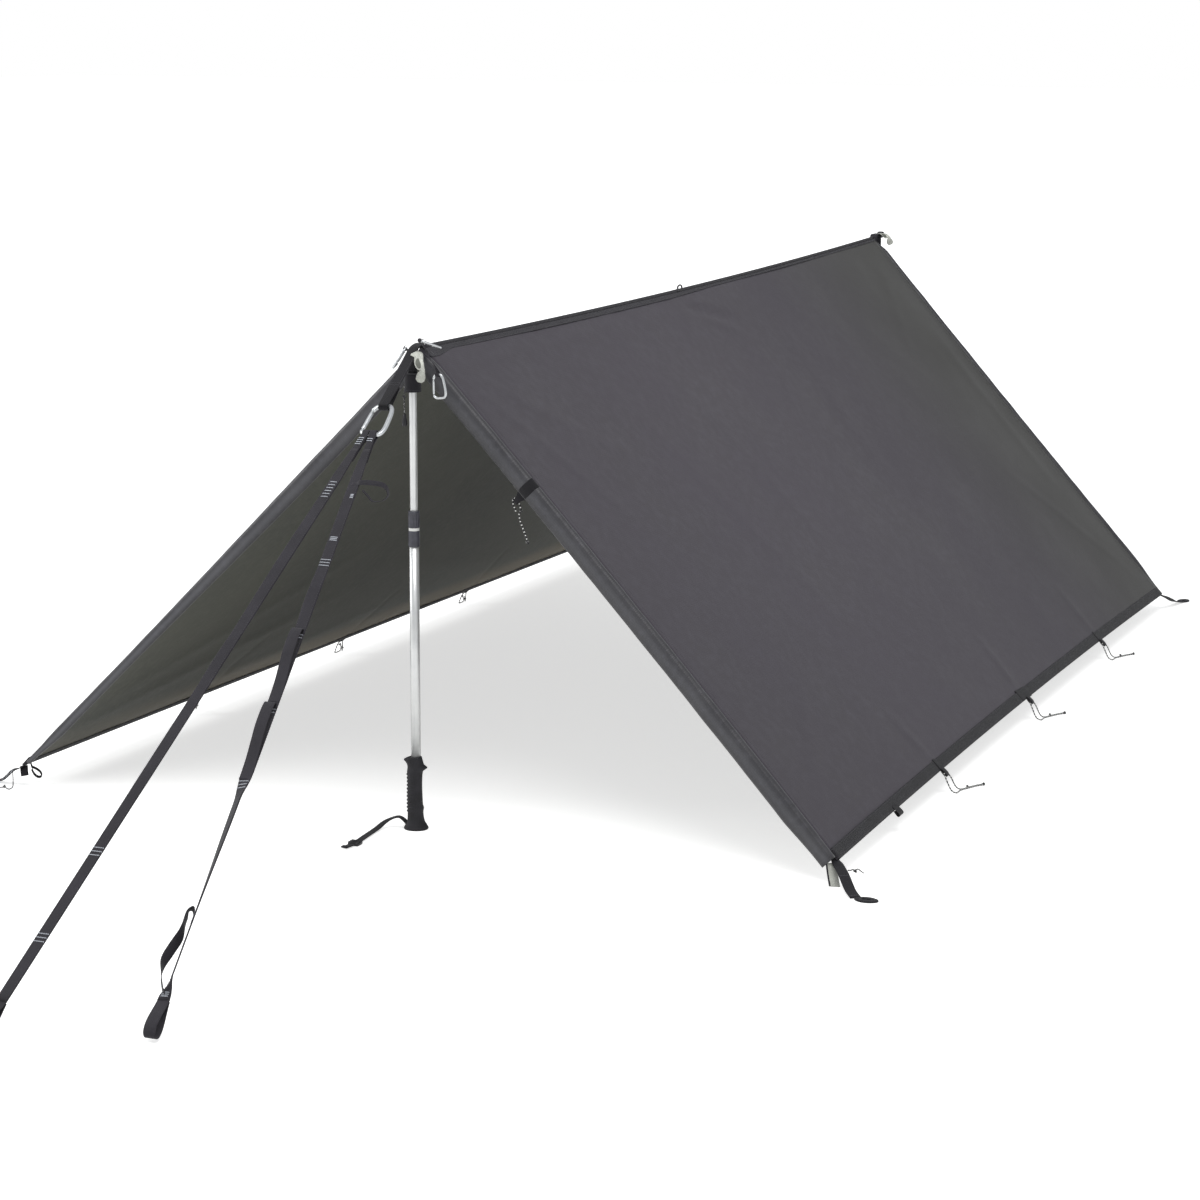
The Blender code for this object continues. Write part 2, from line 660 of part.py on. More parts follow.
def add_strap(name, offset, peg, lean):
    """A flat guy strap looped on the big carabiner's lower bar, down to its own loop on the ground."""
    bar = strap_line(MAIN_TOP + MAIN_LENGTH - MAIN_BAR) + ACROSS * offset - strap_heading() * 0.0020
    normal = strap_normal()
    heading = (peg - bar).normalized()
    total = (peg - bar).length - STRAP_END_LOOP
    turn = loop_around(bar, -strap_heading(), -normal, MAIN_BAR + 0.0016, STRAP_THICK)
    path = [bar + heading * 0.085 - normal * 0.0042, bar + heading * 0.030 - normal * 0.0046,
            bar + heading * 0.010 - normal * 0.0070, *turn, bar + heading * 0.012 + normal * 0.0050]
    widths = [STRAP_WIDTH, 0.017, *[STRAP_TOP_WIDTH] * (len(turn) + 2)]
    across = [ACROSS] * len(path)
    start, end = STRAP_TWIST
    stops = [total * (k / 22) ** 1.25 for k in range(1, 23)]
    stops = [stop for stop in stops if not start - 0.01 < stop < end + 0.01]
    stops = sorted(stops + [start + (end - start) * k / 16 for k in range(17)])
    for stop in stops:
        share = stop / total
        path.append(bar + heading * (0.012 + (total - 0.012) * share) + normal * 0.0050 * (1 - share))
        across.append(Matrix.Rotation(lean(stop), 4, heading) @ ACROSS)
        widths.append(STRAP_TOP_WIDTH + (STRAP_WIDTH - STRAP_TOP_WIDTH) * ramp(stop, 0.02, 0.12))
    start, side = path[-1], across[-1]
    face = heading.cross(side)
    for k in range(1, 20):
        t = 2 * math.pi * k / 21 + 0.30
        far = (1 - math.cos(t)) / 2
        out = STRAP_LOOP_HALF * 1.3 * math.sin(t) * far - 0.0023 * ramp(k, 10, 18)
        path.append(start + heading * STRAP_END_LOOP * far + face * out)
        across.append(side)
        widths.append(STRAP_WIDTH)
    return loft(name, band_rings(path, across, widths, STRAP_THICK), "webbing", "ridge")


def add_slack_loop():
    """A narrow loop of slack webbing that stands out from the right strap, tacked to its face."""
    bar = strap_line(MAIN_TOP + MAIN_LENGTH - MAIN_BAR) + ACROSS * STRAP_SPACING / 2 - strap_heading() * 0.0020
    heading = (RIGHT_PEG - bar).normalized()
    face = heading.cross(ACROSS).normalized()
    face = face if face.z > 0 else -face
    root = bar + heading * 0.148 + face * 0.0064
    spots = [root - ACROSS * 0.004, root + ACROSS * 0.007, Vector((0.0485, -1.874, 0.7786)), Vector((0.0762, -1.874, 0.7790)), Vector((0.0977, -1.873, 0.7754)),
             Vector((0.1062, -1.872, 0.7632)), Vector((0.1033, -1.872, 0.7523)), Vector((0.0909, -1.872, 0.7444)),
             Vector((0.0729, -1.872, 0.7433)), Vector((0.0607, -1.873, 0.7554)), Vector((0.0530, -1.876, 0.7640))]
    route = smooth_route(spots, 0.009)
    tips = [Vector((0, -0.62, -0.50)).lerp(Vector((0.05, -1, 0.05)), ramp(i / (len(route) - 1), 0.11, 0.38)) for i in range(len(route))]
    return loft("right_slack_loop", band_rings(route, tips, SLACK_WIDTH, 0.0012), "webbing", "ridge")


def ramp(distance, start, end):
    t = min(max((distance - start) / (end - start), 0), 1)
    return t * t * (3 - 2 * t)


# Corners

def flat_eye(name, centre, heading, normal, half_long, half_wide, band, thick, body):
    """A closed oval loop of webbing lying flat: the eye that takes a peg."""
    side = normal.cross(heading).normalized()
    loop = [centre + heading * half_long * math.cos(t) + side * half_wide * math.sin(t)
            for t in (2 * math.pi * k / 18 for k in range(18))]
    rings = band_rings(loop, normal.cross(heading), band, thick, True)
    steered = []
    for ring, point in zip(rings, loop):
        spoke = (point - centre).normalized()
        a, b = spoke * band / 2, normal * thick / 2
        steered.append([point - a - b, point + a - b, point + a + b, point - a + b])
    return loft(name, steered, "webbing", body, True)


def corner_frame(side, end):
    """A corner, its outward diagonal in the cloth's plane, and the cloth's weather normal."""
    u = 0 if end == "front" else 1
    _, down, normal = edge_frame(side, u)
    away = Vector((0, -1 if end == "front" else 1, 0))
    away = (away - normal * away.dot(normal)).normalized()
    return corner(side, end), (down + away * 0.9).normalized(), normal


def corner_path(side, end, step=0.012):
    """The corner web's centre line and its widths' directions, from under the cloth to its peg eye."""
    place, diagonal, normal = corner_frame(side, end)
    under = normal * -(CLOTH / 2 + GAP + 0.0010)
    route = [place - diagonal * 0.014 + under, place + diagonal * 0.003 + under, *CORNER_ROUTES[side, end]]
    route = smooth_route(route, step)
    tips = []
    for i, along in enumerate(tangents(route)):
        blend = ramp(i / (len(route) - 1), 0.05, 0.35)
        tips.append((normal.lerp(UP, blend)).cross(along).normalized())
    return route, tips


def front_left_extras(route):
    """The small webbing loop and the square tab that hang from under the left front corner's web."""
    _, diagonal, normal = corner_frame("left", "front")
    aim = Vector((0.52, 0.36, -0.78))
    side = Vector((0.72, 0.30, 0.62))
    side = (side - aim * side.dot(aim)).normalized()
    start = route[0] + diagonal * 0.006 - normal * 0.0006
    turn = route[0] - diagonal * 0.004 - normal * 0.0014
    neck = turn + Vector((0.0010, 0.0060, -0.0130))
    flat, hung = normal.cross(diagonal), aim.cross(side)
    flat = -flat if flat.dot(hung) < 0 else flat
    path = [start, turn, turn + Vector((0.0002, 0.0030, -0.0050)), neck]
    across = [flat, flat, flat.lerp(hung, 0.5), hung]
    for k in range(1, 13):
        t = 2 * math.pi * k / 14 + 0.12
        far = (1 - math.cos(t)) / 2
        out = 0.0062 * 1.3 * math.sin(t) * math.sqrt(far) - 0.0019 * ramp(k, 7, 12)
        path.append(neck + aim * 0.029 * far + side * out)
        across.append(hung)
    loop = loft("left_corner_loop", band_rings(path, across, 0.010, 0.0015), "webbing", "left_slope")
    root = route[1] - normal * 0.0004
    drop = [root, root + Vector((0.005, -0.008, -0.012)), root + Vector((0.011, -0.013, -0.029))]
    tab = loft("left_square_tab", band_rings(drop, Vector((0.92, 0.39, 0)), 0.017, 0.0014), "webbing", "left_slope")
    return [loop, tab]


def add_corner_web(side, end, extra=()):
    """Webbing sewn under a corner, down to the ground and out into its peg eye."""
    name, body = f"{side}_{end}_corner_web", f"{side}_slope"
    route, tips = corner_path(side, end, 0.007)
    strip = loft(name, band_rings(route, tips, 0.023, 0.0018), "webbing", body)
    if (side, end) == ("left", "front"):
        extra = front_left_extras(corner_path(side, end)[0])
    eye, heading = CORNER_EYES[side, end]
    ring = flat_eye(f"{name}_eye", eye, heading.normalized(), UP, 0.022, 0.0105, 0.0085, 0.0030, body)
    return combine(strip, [ring, *extra])


CORNER_ROUTES = {
    ("right", "front"): [Vector((0.953, -1.610, 0.0290)), Vector((0.978, -1.645, 0.0105)), Vector((0.997, -1.668, 0.0026))],
    ("right", "rear"): [Vector((0.917, 1.462, 0.0270)), Vector((0.926, 1.505, 0.0105)), Vector((0.934, 1.550, 0.0028))],
    ("left", "front"): [Vector((-0.978, -1.566, 0.0290)), Vector((-1.002, -1.562, 0.0115)), Vector((-1.026, -1.560, 0.0026))],
    ("left", "rear"): [Vector((-0.935, 1.478, 0.0270)), Vector((-0.946, 1.520, 0.0105)), Vector((-0.956, 1.562, 0.0028))],
}
CORNER_EYES = {
    ("right", "front"): (Vector((1.0200, -1.6720, 0.0019)), Vector((1, -0.05, 0))),
    ("right", "rear"): (Vector((0.9380, 1.5700, 0.0019)), Vector((0.18, 1, 0))),
    ("left", "front"): (Vector((-1.0500, -1.5590, 0.0019)), Vector((-1, 0.04, 0))),
    ("left", "rear"): (Vector((-0.9600, 1.5820, 0.0019)), Vector((-0.20, 1, 0))),
}


def add_corner_tab():
    """A reflective tab that hangs to the ground from under the right front corner web."""
    route, tips = corner_path("right", "front")
    i = 3
    along = tangents(route)[i]
    below = along.cross(tips[i]).normalized()
    below = -below if below.z > 0 else below
    tip = tips[i] if tips[i].x < 0 else -tips[i]
    top = route[i] + below * 0.0023 + tip * 0.0115
    drop = top.z - 0.0020
    path = [top, top + Vector((0.001, -0.001, -drop * 0.5)), top + Vector((0.005, -0.006, -drop))]
    loft("right_corner_tab", band_rings(path, tip, 0.024, 0.0014), "reflective", "right_slope")


# Poles

def grip_outline(height):
    """(left reach, right reach, depth) of the upturned grip at a height above its flared cap."""
    table = ((0.000, 0.0255, 0.0240, 0.0200), (0.004, 0.0265, 0.0250, 0.0205), (0.009, 0.0240, 0.0225, 0.0190),
             (0.018, 0.0195, 0.0175, 0.0165), (0.030, 0.0185, 0.0150, 0.0155), (0.046, 0.0190, 0.0160, 0.0155),
             (0.060, 0.0190, 0.0135, 0.0150), (0.100, 0.0185, 0.0125, 0.0148), (0.122, 0.0190, 0.0140, 0.0150),
             (0.132, 0.0180, 0.0235, 0.0150), (0.138, 0.0185, 0.0170, 0.0145), (0.149, 0.0255, 0.0135, 0.0135),
             (0.155, 0.0150, 0.0120, 0.0120))
    for low, high in zip(table, table[1:]):
        if height <= high[0]:
            t = (height - low[0]) / (high[0] - low[0])
            return tuple(a + (b - a) * t for a, b in zip(low[1:], high[1:]))
    return table[-1][1:]


def add_grip(end, foot, body):
    """The moulded grip, cap down, ribbed on its finger side, with a socket for the shaft."""
    rib_low, rib_high = 0.036, 0.122
    facing = GRIP_TURN + (0 if end == "front" else math.pi)
    heights = [0.0, 0.004, 0.009, 0.013, 0.018, 0.026, 0.032]
    pitch = (rib_high - rib_low) / RIB_COUNT
    for k in range(RIB_COUNT):
        heights += [rib_low + pitch * k, rib_low + pitch * (k + 0.5)]
    heights += [rib_high, 0.127, 0.132, 0.138, 0.144, 0.149, 0.1525, GRIP_HIGH]
    rings, sides = [], 10
    for height in heights:
        left, right, depth = grip_outline(height)
        if rib_low < height < rib_high:
            place = (height - rib_low) / pitch % 1
            left += 0.0014 if 0.3 < place < 0.7 else -0.0004
        ring = []
        for k in range(sides):
            turn = 2 * math.pi * k / sides
            x, y = math.cos(turn), math.sin(turn)
            local = Vector((x * (right if x > 0 else left), y * depth, 0))
            ring.append(foot + Matrix.Rotation(facing, 4, "Z") @ local + UP * height)
        rings.append(ring)
    grip = loft(f"{end}_grip", rings, "rubber", body)
    bore = [(THICK_RADIUS + GAP, GRIP_SOCKET), (THICK_RADIUS + GAP, GRIP_HIGH + 0.01)]
    cutter = turned(f"{end}_grip_bore", bore, foot, "rubber", body)
    combine(grip, [cutter], "DIFFERENCE")


def add_lock_collar(end, foot, body):
    """The fluted collar that is turned to clamp the thin section."""
    low = SPACER_TOP + GAP
    bore = THIN_RADIUS + SLIDE_CLEARANCE
    rings = []
    sides = 3 * FLUTES
    for height, scale in ((low, 0.97), (low + 0.003, 1), (low + LOCK_COLLAR_HIGH - 0.004, 1), (low + LOCK_COLLAR_HIGH, 0.93)):
        ring = []
        for k in range(sides):
            turn = 2 * math.pi * k / sides
            radius = COLLAR_RADIUS * scale - (0.0007 if k % 3 == 0 else 0)
            ring.append(foot + Vector((radius * math.cos(turn), radius * math.sin(turn), height)))
        rings.append(ring)
    for height in (low + LOCK_COLLAR_HIGH, low):
        rings.append([foot + Vector((bore * math.cos(2 * math.pi * k / sides), bore * math.sin(2 * math.pi * k / sides), height))
                      for k in range(sides)])
    loft(f"{end}_lock_collar", rings, "plastic", body, True)


def add_wrist_strap(end, foot, body):
    """The grip's wrist strap, laid on the ground, with its buckle."""
    away = -1 if end == "front" else 1
    mirror = 1 if end == "front" else -1

    def spot(x, y, z):
        return foot + Vector((x * mirror, y * -away, z))

    path = [spot(-0.0211, -0.004, 0.014), spot(-0.038, -0.006, 0.024), spot(-0.060, -0.018, 0.016),
            spot(-0.069, -0.048, 0.0052), spot(-0.066, -0.100, 0.0040), spot(-0.061, -0.160, 0.0040),
            spot(-0.066, -0.200, 0.0040)]
    route = smooth_route(path, 0.008)
    across = [UP.cross(along).normalized() for along in tangents(route)]
    loft(f"{end}_wrist_strap", band_rings(route, across, 0.015, 0.0022), "webbing", body)
    near = min(range(1, len(route) - 1), key=lambda i: (route[i] - spot(-0.061, -0.160, 0.004)).length)
    centre, along = route[near].copy(), tangents(route)[near]
    along.z = 0
    along.normalize()
    case = [centre + along * d for d in (-0.012, -0.009, 0.009, 0.012)]
    widths = [0.020, 0.0245, 0.0245, 0.020]
    buckle = loft(f"{end}_strap_buckle", band_rings(case, UP.cross(along), widths, 0.0075), "plastic", body)
    slot = [centre - along * 0.03, centre + along * 0.03]
    cutter = loft(f"{end}_buckle_slot", band_rings(slot, UP.cross(along), 0.0170, 0.0036), "plastic", body)
    combine(buckle, [cutter], "DIFFERENCE")


def add_pole(end):
    """An upturned trekking pole: grip on the ground, thin section up in the pocket."""
    foot = pole_line(end)
    height = FRONT_HEIGHT if end == "front" else REAR_HEIGHT
    base, lock = f"{end}_pole_base", f"{end}_pole_lock"
    make_body(base, foot, "ridge")
    make_body(lock, foot, base)
    tip = height - POCKET_BOTTOM + POCKET_HIGH - 0.0045 - GAP
    thin = [(0.0025, tip), (0.0040, tip - 0.003), (0.0046, tip - 0.016), (0.0068, tip - 0.024),
            (THIN_RADIUS, tip - 0.027), (THIN_RADIUS, THIN_FOOT)]
    turned(f"{end}_upper_shaft", thin, foot, "shaft", "ridge")
    bore = THIN_RADIUS + SLIDE_CLEARANCE
    thick = [(THICK_RADIUS, THICK_TOP), (THICK_RADIUS, GRIP_SOCKET + GAP), (0.003, GRIP_SOCKET + GAP), (0.003, BORE_FLOOR),
             (bore, BORE_FLOOR), (bore, THICK_TOP)]
    turned(f"{end}_lower_shaft", thick, foot, "shaft", base, True)
    sleeve = THICK_RADIUS + GAP
    low, high = LOWER_COLLAR
    collar = [(COLLAR_RADIUS - 0.0006, low), (COLLAR_RADIUS, low + 0.002), (COLLAR_RADIUS, high - 0.001),
              (COLLAR_RADIUS - 0.0008, high), (COLLAR_RADIUS - 0.0008, SPACER_TOP), (bore, SPACER_TOP),
              (bore, THICK_TOP + GAP), (sleeve, THICK_TOP + GAP), (sleeve, low)]
    turned(f"{end}_lower_collar", collar, foot, "plastic", base, True)
    add_grip(end, foot, base)
    add_lock_collar(end, foot, lock)
    add_wrist_strap(end, foot, base)


# Small cords, each route a hand-placed list about the eye it goes through

TIE_ROUTE = ((0.0560, 0.1080, 0.0), (0.0430, 0.0860, 0.0), (0.0320, 0.0620, 0.0), (0.0225, 0.0430, 0.0), (0.0150, 0.0300, 0.20),
             (0.0070, 0.0170, 0.74), (0.0, 0.0080, 0.99), (0.0, 0.0, 1.0), (0.0, -0.0080, 0.99), (0.0075, -0.0125, 0.66),
             (0.0165, -0.0080, 0.20), (0.0240, 0.0060, 0.02), (0.0258, 0.0360, 0.0), (0.0358, 0.0600, 0.0), (0.0470, 0.0840, 0.0),
             (0.0610, 0.1040, 0.0))


def add_tie_cord(side, index, u):
    """A doubled cord through a tie-out tab, its two tails lying on the ground."""
    eye = tie_eye(side, u)
    sign = SIDE_SIGN[side]
    ground = CORD_RADIUS + 0.0012
    route = [(eye.x + sign * x, eye.y + y, ground + (eye.z - ground) * z) for x, y, z in TIE_ROUTE]
    add_cord(f"{side}_tie_cord_{index}", route, f"{side}_slope")


def add_pull():
    """The pocket's pull cord, with a moulded toggle at its end."""
    foot, low = pole_line("front"), FRONT_HEIGHT - POCKET_BOTTOM
    x = -(POCKET_RADIUS + CORD_RADIUS + GAP)
    route = [(x, foot.y, low + 0.014), (x, foot.y - 0.0004, low), (x - 0.0006, foot.y - 0.001, low - 0.022),
             (x, foot.y - 0.001, low - 0.0455)]
    add_cord("pocket_pull_cord", route, "ridge")
    toggle = [(0.0016, low - 0.0460), (0.0030, low - 0.0480), (0.0038, low - 0.0540), (0.0054, low - 0.0640),
              (0.0056, low - 0.0690), (0.0040, low - 0.0715)]
    turned("pocket_pull_toggle", toggle, Vector((x, foot.y - 0.001, 0)), "plastic", "ridge", False, 10)


def add_edge_cord():
    """A knotted cord through the loop of the right front hem's tab."""
    eye, across = edge_tie_eye()
    spots = ((-0.0040, 0, -0.025), (-0.0125, 0, -0.016), (-0.0122, 0, -0.005), (-0.0050, 0, 0), (0.0050, 0, 0),
             (0.0100, 0, -0.003), (0.0110, 0, -0.014), (0.0050, -0.001, -0.027), (0.0080, -0.003, -0.040),
             (0.0150, -0.004, -0.056), (0.0220, -0.005, -0.072), (0.0270, -0.006, -0.086))
    route = []
    for i, (out, forward, drop) in enumerate(spots):
        place = across * out if i < 7 else Vector((out, 0, 0))
        route.append(eye + place + Vector((0, forward, drop)))
    add_cord("front_edge_cord", route, "right_slope")


def add_corner_cords():
    route, tips = corner_path("right", "front")
    tip = tips[4] if tips[4].x > 0 else -tips[4]
    start = route[4] + tip * (0.0115 + CORD_RADIUS + GAP)
    offsets = ((0, 0, 0), (0.006, -0.001, 0.001), (0.012, -0.004, 0.004), (0.017, -0.001, 0.001), (0.013, 0.003, 0.000),
               (0.018, 0.006, 0.003), (0.024, 0.004, 0.001), (0.031, 0.003, -0.003))
    add_cord("right_corner_cord", [start + Vector(o) for o in offsets], "right_slope")
    route, tips = corner_path("left", "front")
    tip = tips[3] if tips[3].y < 0 else -tips[3]
    start = route[3] + tip * (0.0115 + CORD_RADIUS + GAP)
    spots = (start, Vector((-0.957, -1.594, 0.0150)), Vector((-0.9520, -1.604, 0.0060)), Vector((-0.9560, -1.611, 0.0025)),
             Vector((-0.9660, -1.606, 0.0022)), Vector((-0.9750, -1.600, 0.0022)), Vector((-0.9880, -1.606, 0.0020)))
    add_cord("left_corner_cord", spots, "left_slope")


def clip_heads(side):
    """The webbing that holds a small carabiner on a ridge binding's front end."""
    v = (RIDGE_GAP + 0.0150) / slope_length(side, 0)
    lift, down = outward(side, 0, v), slope(side, 0, v + 0.01) - slope(side, 0, v)
    down.normalize()
    base = slope(side, 0, v) + lift * (binding_lift() + 0.0003)
    if side == "right":
        anchor = [slope(side, 0.006, v) + lift * (binding_lift() + 0.0003), base - Vector((0, 0.002, 0)),
                  base + Vector((0.0030, -0.020, 0.0100)), base + Vector((0.0062, -0.042, 0.0235))]
        return bar_loop(anchor, RIDGE_CLIP, -1, [0.009], "right_clip_head", "right_slope", down)
    anchor = [base - down * 0.006 + Vector((0, 0.001, 0)), base + Vector((0, -0.002, 0)), base + down * 0.004 + lift * 0.003 + Vector((0, -0.012, 0)),
              base + down * 0.002 + lift * 0.012 + Vector((0, -0.019, 0))]
    return bar_loop(anchor, HEM_CLIP, 1, [0.030, 0.026, 0.010, 0.009], "left_clip_head", "left_slope", Vector((0, -1, 0)))


def main():
    clear_scene()
    for name in COLOURS:
        make_material(name)
    make_body("ridge", (0, 0, 0))
    for side in SIDE_SIGN:
        make_body(f"{side}_slope", (FRONT_END + REAR_END) / 2, "ridge")
        add_panel(side)
        add_bottom_binding(side)
        combine(add_ridge_binding(side), [clip_heads(side)])
        add_hem(side, "rear")
        front = add_hem(side, "front")
        if side == "right":
            combine(front, [add_edge_tie_tab()])
        add_corner_web(side, "front")
        add_corner_web(side, "rear")
        for index, u in enumerate(TIE_PLACES, 1):
            add_tie_cord(side, index, u)
    add_small_carabiner("ridge_carabiner", RIDGE_CLIP, "right_slope", "ridge_gate")
    add_small_carabiner("hem_carabiner", HEM_CLIP, "left_slope", "hem_gate")
    add_corner_tab()
    add_corner_cords()
    add_edge_cord()
    add_ridge_webbing()
    add_front_peak_web()
    add_rear_peak_web()
    add_pull()
    along, across = squared(strap_heading(), ACROSS)
    add_carabiner("main_carabiner", MAIN_PLACE, along, across, MAIN_LENGTH, MAIN_WIDTH, MAIN_BAR, MAIN_TAPER, "ridge", "main_gate")
    swing = foot_bar(HANGING_CLIP)
    make_body("hanging_clip", swing, "ridge")
    add_small_carabiner("hanging_carabiner", HANGING_CLIP, "hanging_clip", "hanging_gate")
    start = strap_line(0.012) + strap_normal() * 0.0035
    anchor = [start + ACROSS * (PEAK_WEB_WIDTH / 2 + 0.0015), start + Vector((0.024, -0.003, -0.004)),
              start + Vector((0.040, -0.006, -0.018)), swing + Vector((-0.004, 0.0036, 0.010))]
    bar_loop(anchor, HANGING_CLIP, 1, [0.009], "clip_web", "ridge", strap_heading())
    add_strap("left_strap", -STRAP_SPACING / 2, LEFT_PEG, lambda distance: 0.0)
    add_strap("right_strap", STRAP_SPACING / 2, RIGHT_PEG, lambda distance: 1.2 * ramp(distance, *STRAP_TWIST))
    add_slack_loop()
    for end in ("front", "rear"):
        add_pocket(end)
        add_peak_tab(end)
        add_pole(end)


main()
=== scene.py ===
"""A ridge tarp pitched as an A-frame on two upturned trekking poles: the looks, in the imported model's frame."""
import math

import bmesh
import bpy
from mathutils import Matrix, Vector, noise


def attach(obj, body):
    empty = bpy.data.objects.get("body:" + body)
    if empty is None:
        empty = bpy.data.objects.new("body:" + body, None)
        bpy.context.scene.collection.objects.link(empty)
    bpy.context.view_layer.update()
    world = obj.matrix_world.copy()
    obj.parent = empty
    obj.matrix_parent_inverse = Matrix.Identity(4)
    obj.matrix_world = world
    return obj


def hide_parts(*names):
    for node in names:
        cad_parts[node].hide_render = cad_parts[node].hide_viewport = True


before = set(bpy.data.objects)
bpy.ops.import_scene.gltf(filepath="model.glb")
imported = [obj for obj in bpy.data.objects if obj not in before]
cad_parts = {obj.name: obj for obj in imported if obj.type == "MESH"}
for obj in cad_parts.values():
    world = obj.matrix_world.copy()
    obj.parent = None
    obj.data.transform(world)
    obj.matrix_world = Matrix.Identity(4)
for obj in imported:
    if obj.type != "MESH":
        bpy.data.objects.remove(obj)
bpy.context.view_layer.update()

# The stage: a pale floor under a white studio, seen from the front left at standing height.
# It is a plain plane; camera and mirror rays see it near white, and it still takes the tarp's soft shadow.


def linear(code):
    """An sRGB hex colour as linear RGBA."""
    parts = [int(code[i:i + 2], 16) / 255 for i in (0, 2, 4)]
    return (*[c / 12.92 if c <= 0.04045 else ((c + 0.055) / 1.055) ** 2.4 for c in parts], 1.0)


def feed(socket, value):
    """Gives an input a value, a hex colour, another node's socket, or another node's first output in use."""
    if isinstance(value, bpy.types.Node):
        value = next(out for out in value.outputs if out.enabled)
    if isinstance(value, bpy.types.NodeSocket):
        socket.id_data.links.new(value, socket)
    else:
        socket.default_value = linear(value) if socket.type == "RGBA" and isinstance(value, str) else value


def node(tree, kind, links=None, **settings):
    """Adds a node with its settings and feeds its inputs. A shader node's kind goes without its prefix."""
    whole = kind.startswith(("Geometry", "Function", "NodeGroup"))
    made = tree.nodes.new(kind if whole else f"ShaderNode{kind}")
    for name, value in settings.items():
        setattr(made, name, value)
    for name, value in (links or {}).items():
        feed(made.inputs[name], value)
    return made


def dress(shader, **sockets):
    """Feeds the shader's own sockets."""
    for key, value in sockets.items():
        feed(shader.inputs[key.replace("_", " ")], value)


def surface(name, roughness, metallic=0.0, **sockets):
    """A material named for the real one, with its plain values on the shader's own sockets."""
    made = bpy.data.materials.new(name)
    made.use_nodes = True
    tree = made.node_tree
    tree.nodes.clear()
    shader = node(tree, "BsdfPrincipled", {"Roughness": roughness, "Metallic": metallic})
    dress(shader, **sockets)
    node(tree, "OutputMaterial", {"Surface": shader})
    return made, tree, shader


def on_piece(tree):
    """The place on the piece, in metres."""
    return node(tree, "TexCoord").outputs["Object"]


def add_object(name, data):
    made = bpy.data.objects.new(name, data)
    bpy.context.scene.collection.objects.link(made)
    return made


floor_mesh = bpy.data.meshes.new("floor")
floor_mesh.from_pydata([(-40, -40, 0), (40, -40, 0), (40, 60, 0), (-40, 60, 0)], [], [(0, 1, 2, 3)])
floor_paint, tree, shader = surface("studio floor", 0.9, Specular_IOR_Level=0.1, Base_Color="E6E6E4")
rays = node(tree, "LightPath")
mirrored = node(tree, "Math", {0: rays.outputs["Is Glossy Ray"], 1: 0.6}, operation="MULTIPLY")
seen = node(tree, "Math", {0: rays.outputs["Is Camera Ray"], 1: mirrored}, operation="MAXIMUM")
far = node(tree, "VectorMath", {0: on_piece(tree)}, operation="LENGTH")
fade = node(tree, "MapRange", {"Value": far, "From Min": 3.5, "From Max": 9.0, "To Min": 0.66})
glow = node(tree, "Emission", {"Color": "FFFFFF", "Strength": fade})
lift = node(tree, "MixShader", {0: seen, 1: node(tree, "Emission", {"Strength": 0.0}), 2: glow})
feed(tree.nodes["Material Output"].inputs["Surface"], node(tree, "AddShader", {0: shader, 1: lift}))
floor_mesh.materials.append(floor_paint)
add_object("floor", floor_mesh)

world = bpy.data.worlds.new("studio")
world.use_nodes = True
bpy.context.scene.world = world
tree = world.node_tree
tree.nodes.clear()
soft = node(tree, "Background", {"Color": "F2F4F7", "Strength": 0.56})
white = node(tree, "Background", {"Color": "FFFFFF", "Strength": 1.0})
mixed = node(tree, "MixShader", {0: node(tree, "LightPath").outputs["Is Camera Ray"], 1: soft, 2: white})
node(tree, "OutputWorld", {"Surface": mixed})

for name, place, target, size, watts in (("high soft lamp", (1.5, -4.0, 7.5), (0, -0.3, 0.4), 5.0, 350),
                                         ("left lamp", (-6.5, -3.0, 4.0), (0, -0.8, 0.5), 3.0, 170)):
    lamp = bpy.data.lights.new(name, "AREA")
    lamp.shape, lamp.size, lamp.energy = "DISK", size, watts
    made = add_object(name, lamp)
    made.location = place
    made.rotation_euler = (Vector(target) - Vector(place)).to_track_quat("-Z", "Y").to_euler()

lens = bpy.data.cameras.new("camera")
lens.sensor_width, lens.lens = 36.0, 91.03
camera = add_object("camera", lens)
aimed = Matrix.Rotation(math.radians(22.713), 4, "Z") @ Matrix.Rotation(math.radians(90 - 10.992), 4, "X")
placed = Matrix.Translation((2.7092, -7.0339, 1.6732)) @ aimed
camera.matrix_world = placed @ Matrix.Rotation(math.radians(0.181), 4, "Z")
bpy.context.scene.camera = camera
bpy.context.scene.view_settings.view_transform = "Standard"

# The cloth: two slopes of coated polyester, cut and sewn at the ridge, about 3.0 by 1.34 m each.
# The weather side is dark grey with a faint sheen; the inner side is coated olive grey and shows soft folds.
LONG, DEEP, CLOTH_GAUGE, RIDGE_GAP = 3.0, 1.341, 0.0016, 0.0036
FRONT_END, REAR_END = Vector((0, -1.5, 1.0)), Vector((0, 1.5, 1.022))
SPREAD = {("right", "front"): 0.929, ("right", "rear"): 0.906, ("left", "front"): 0.953, ("left", "rear"): 0.922}
FORWARD = {"right": 0.077, "left": 0.062}
BELLY = {"right": 0.010, "left": 0.014}
BOTTOM_SAG = {"right": 0.013, "left": 0.003}
SIGN = {"right": 1, "left": -1}


def ridge_point(u):
    point = FRONT_END.lerp(REAR_END, u)
    point.z -= 0.014 * 4 * u * (1 - u)
    return point


def corner(side, end):
    half = -LONG / 2 if end == "front" else LONG / 2
    return Vector((SIGN[side] * SPREAD[side, end], half - FORWARD[side], 0.045))


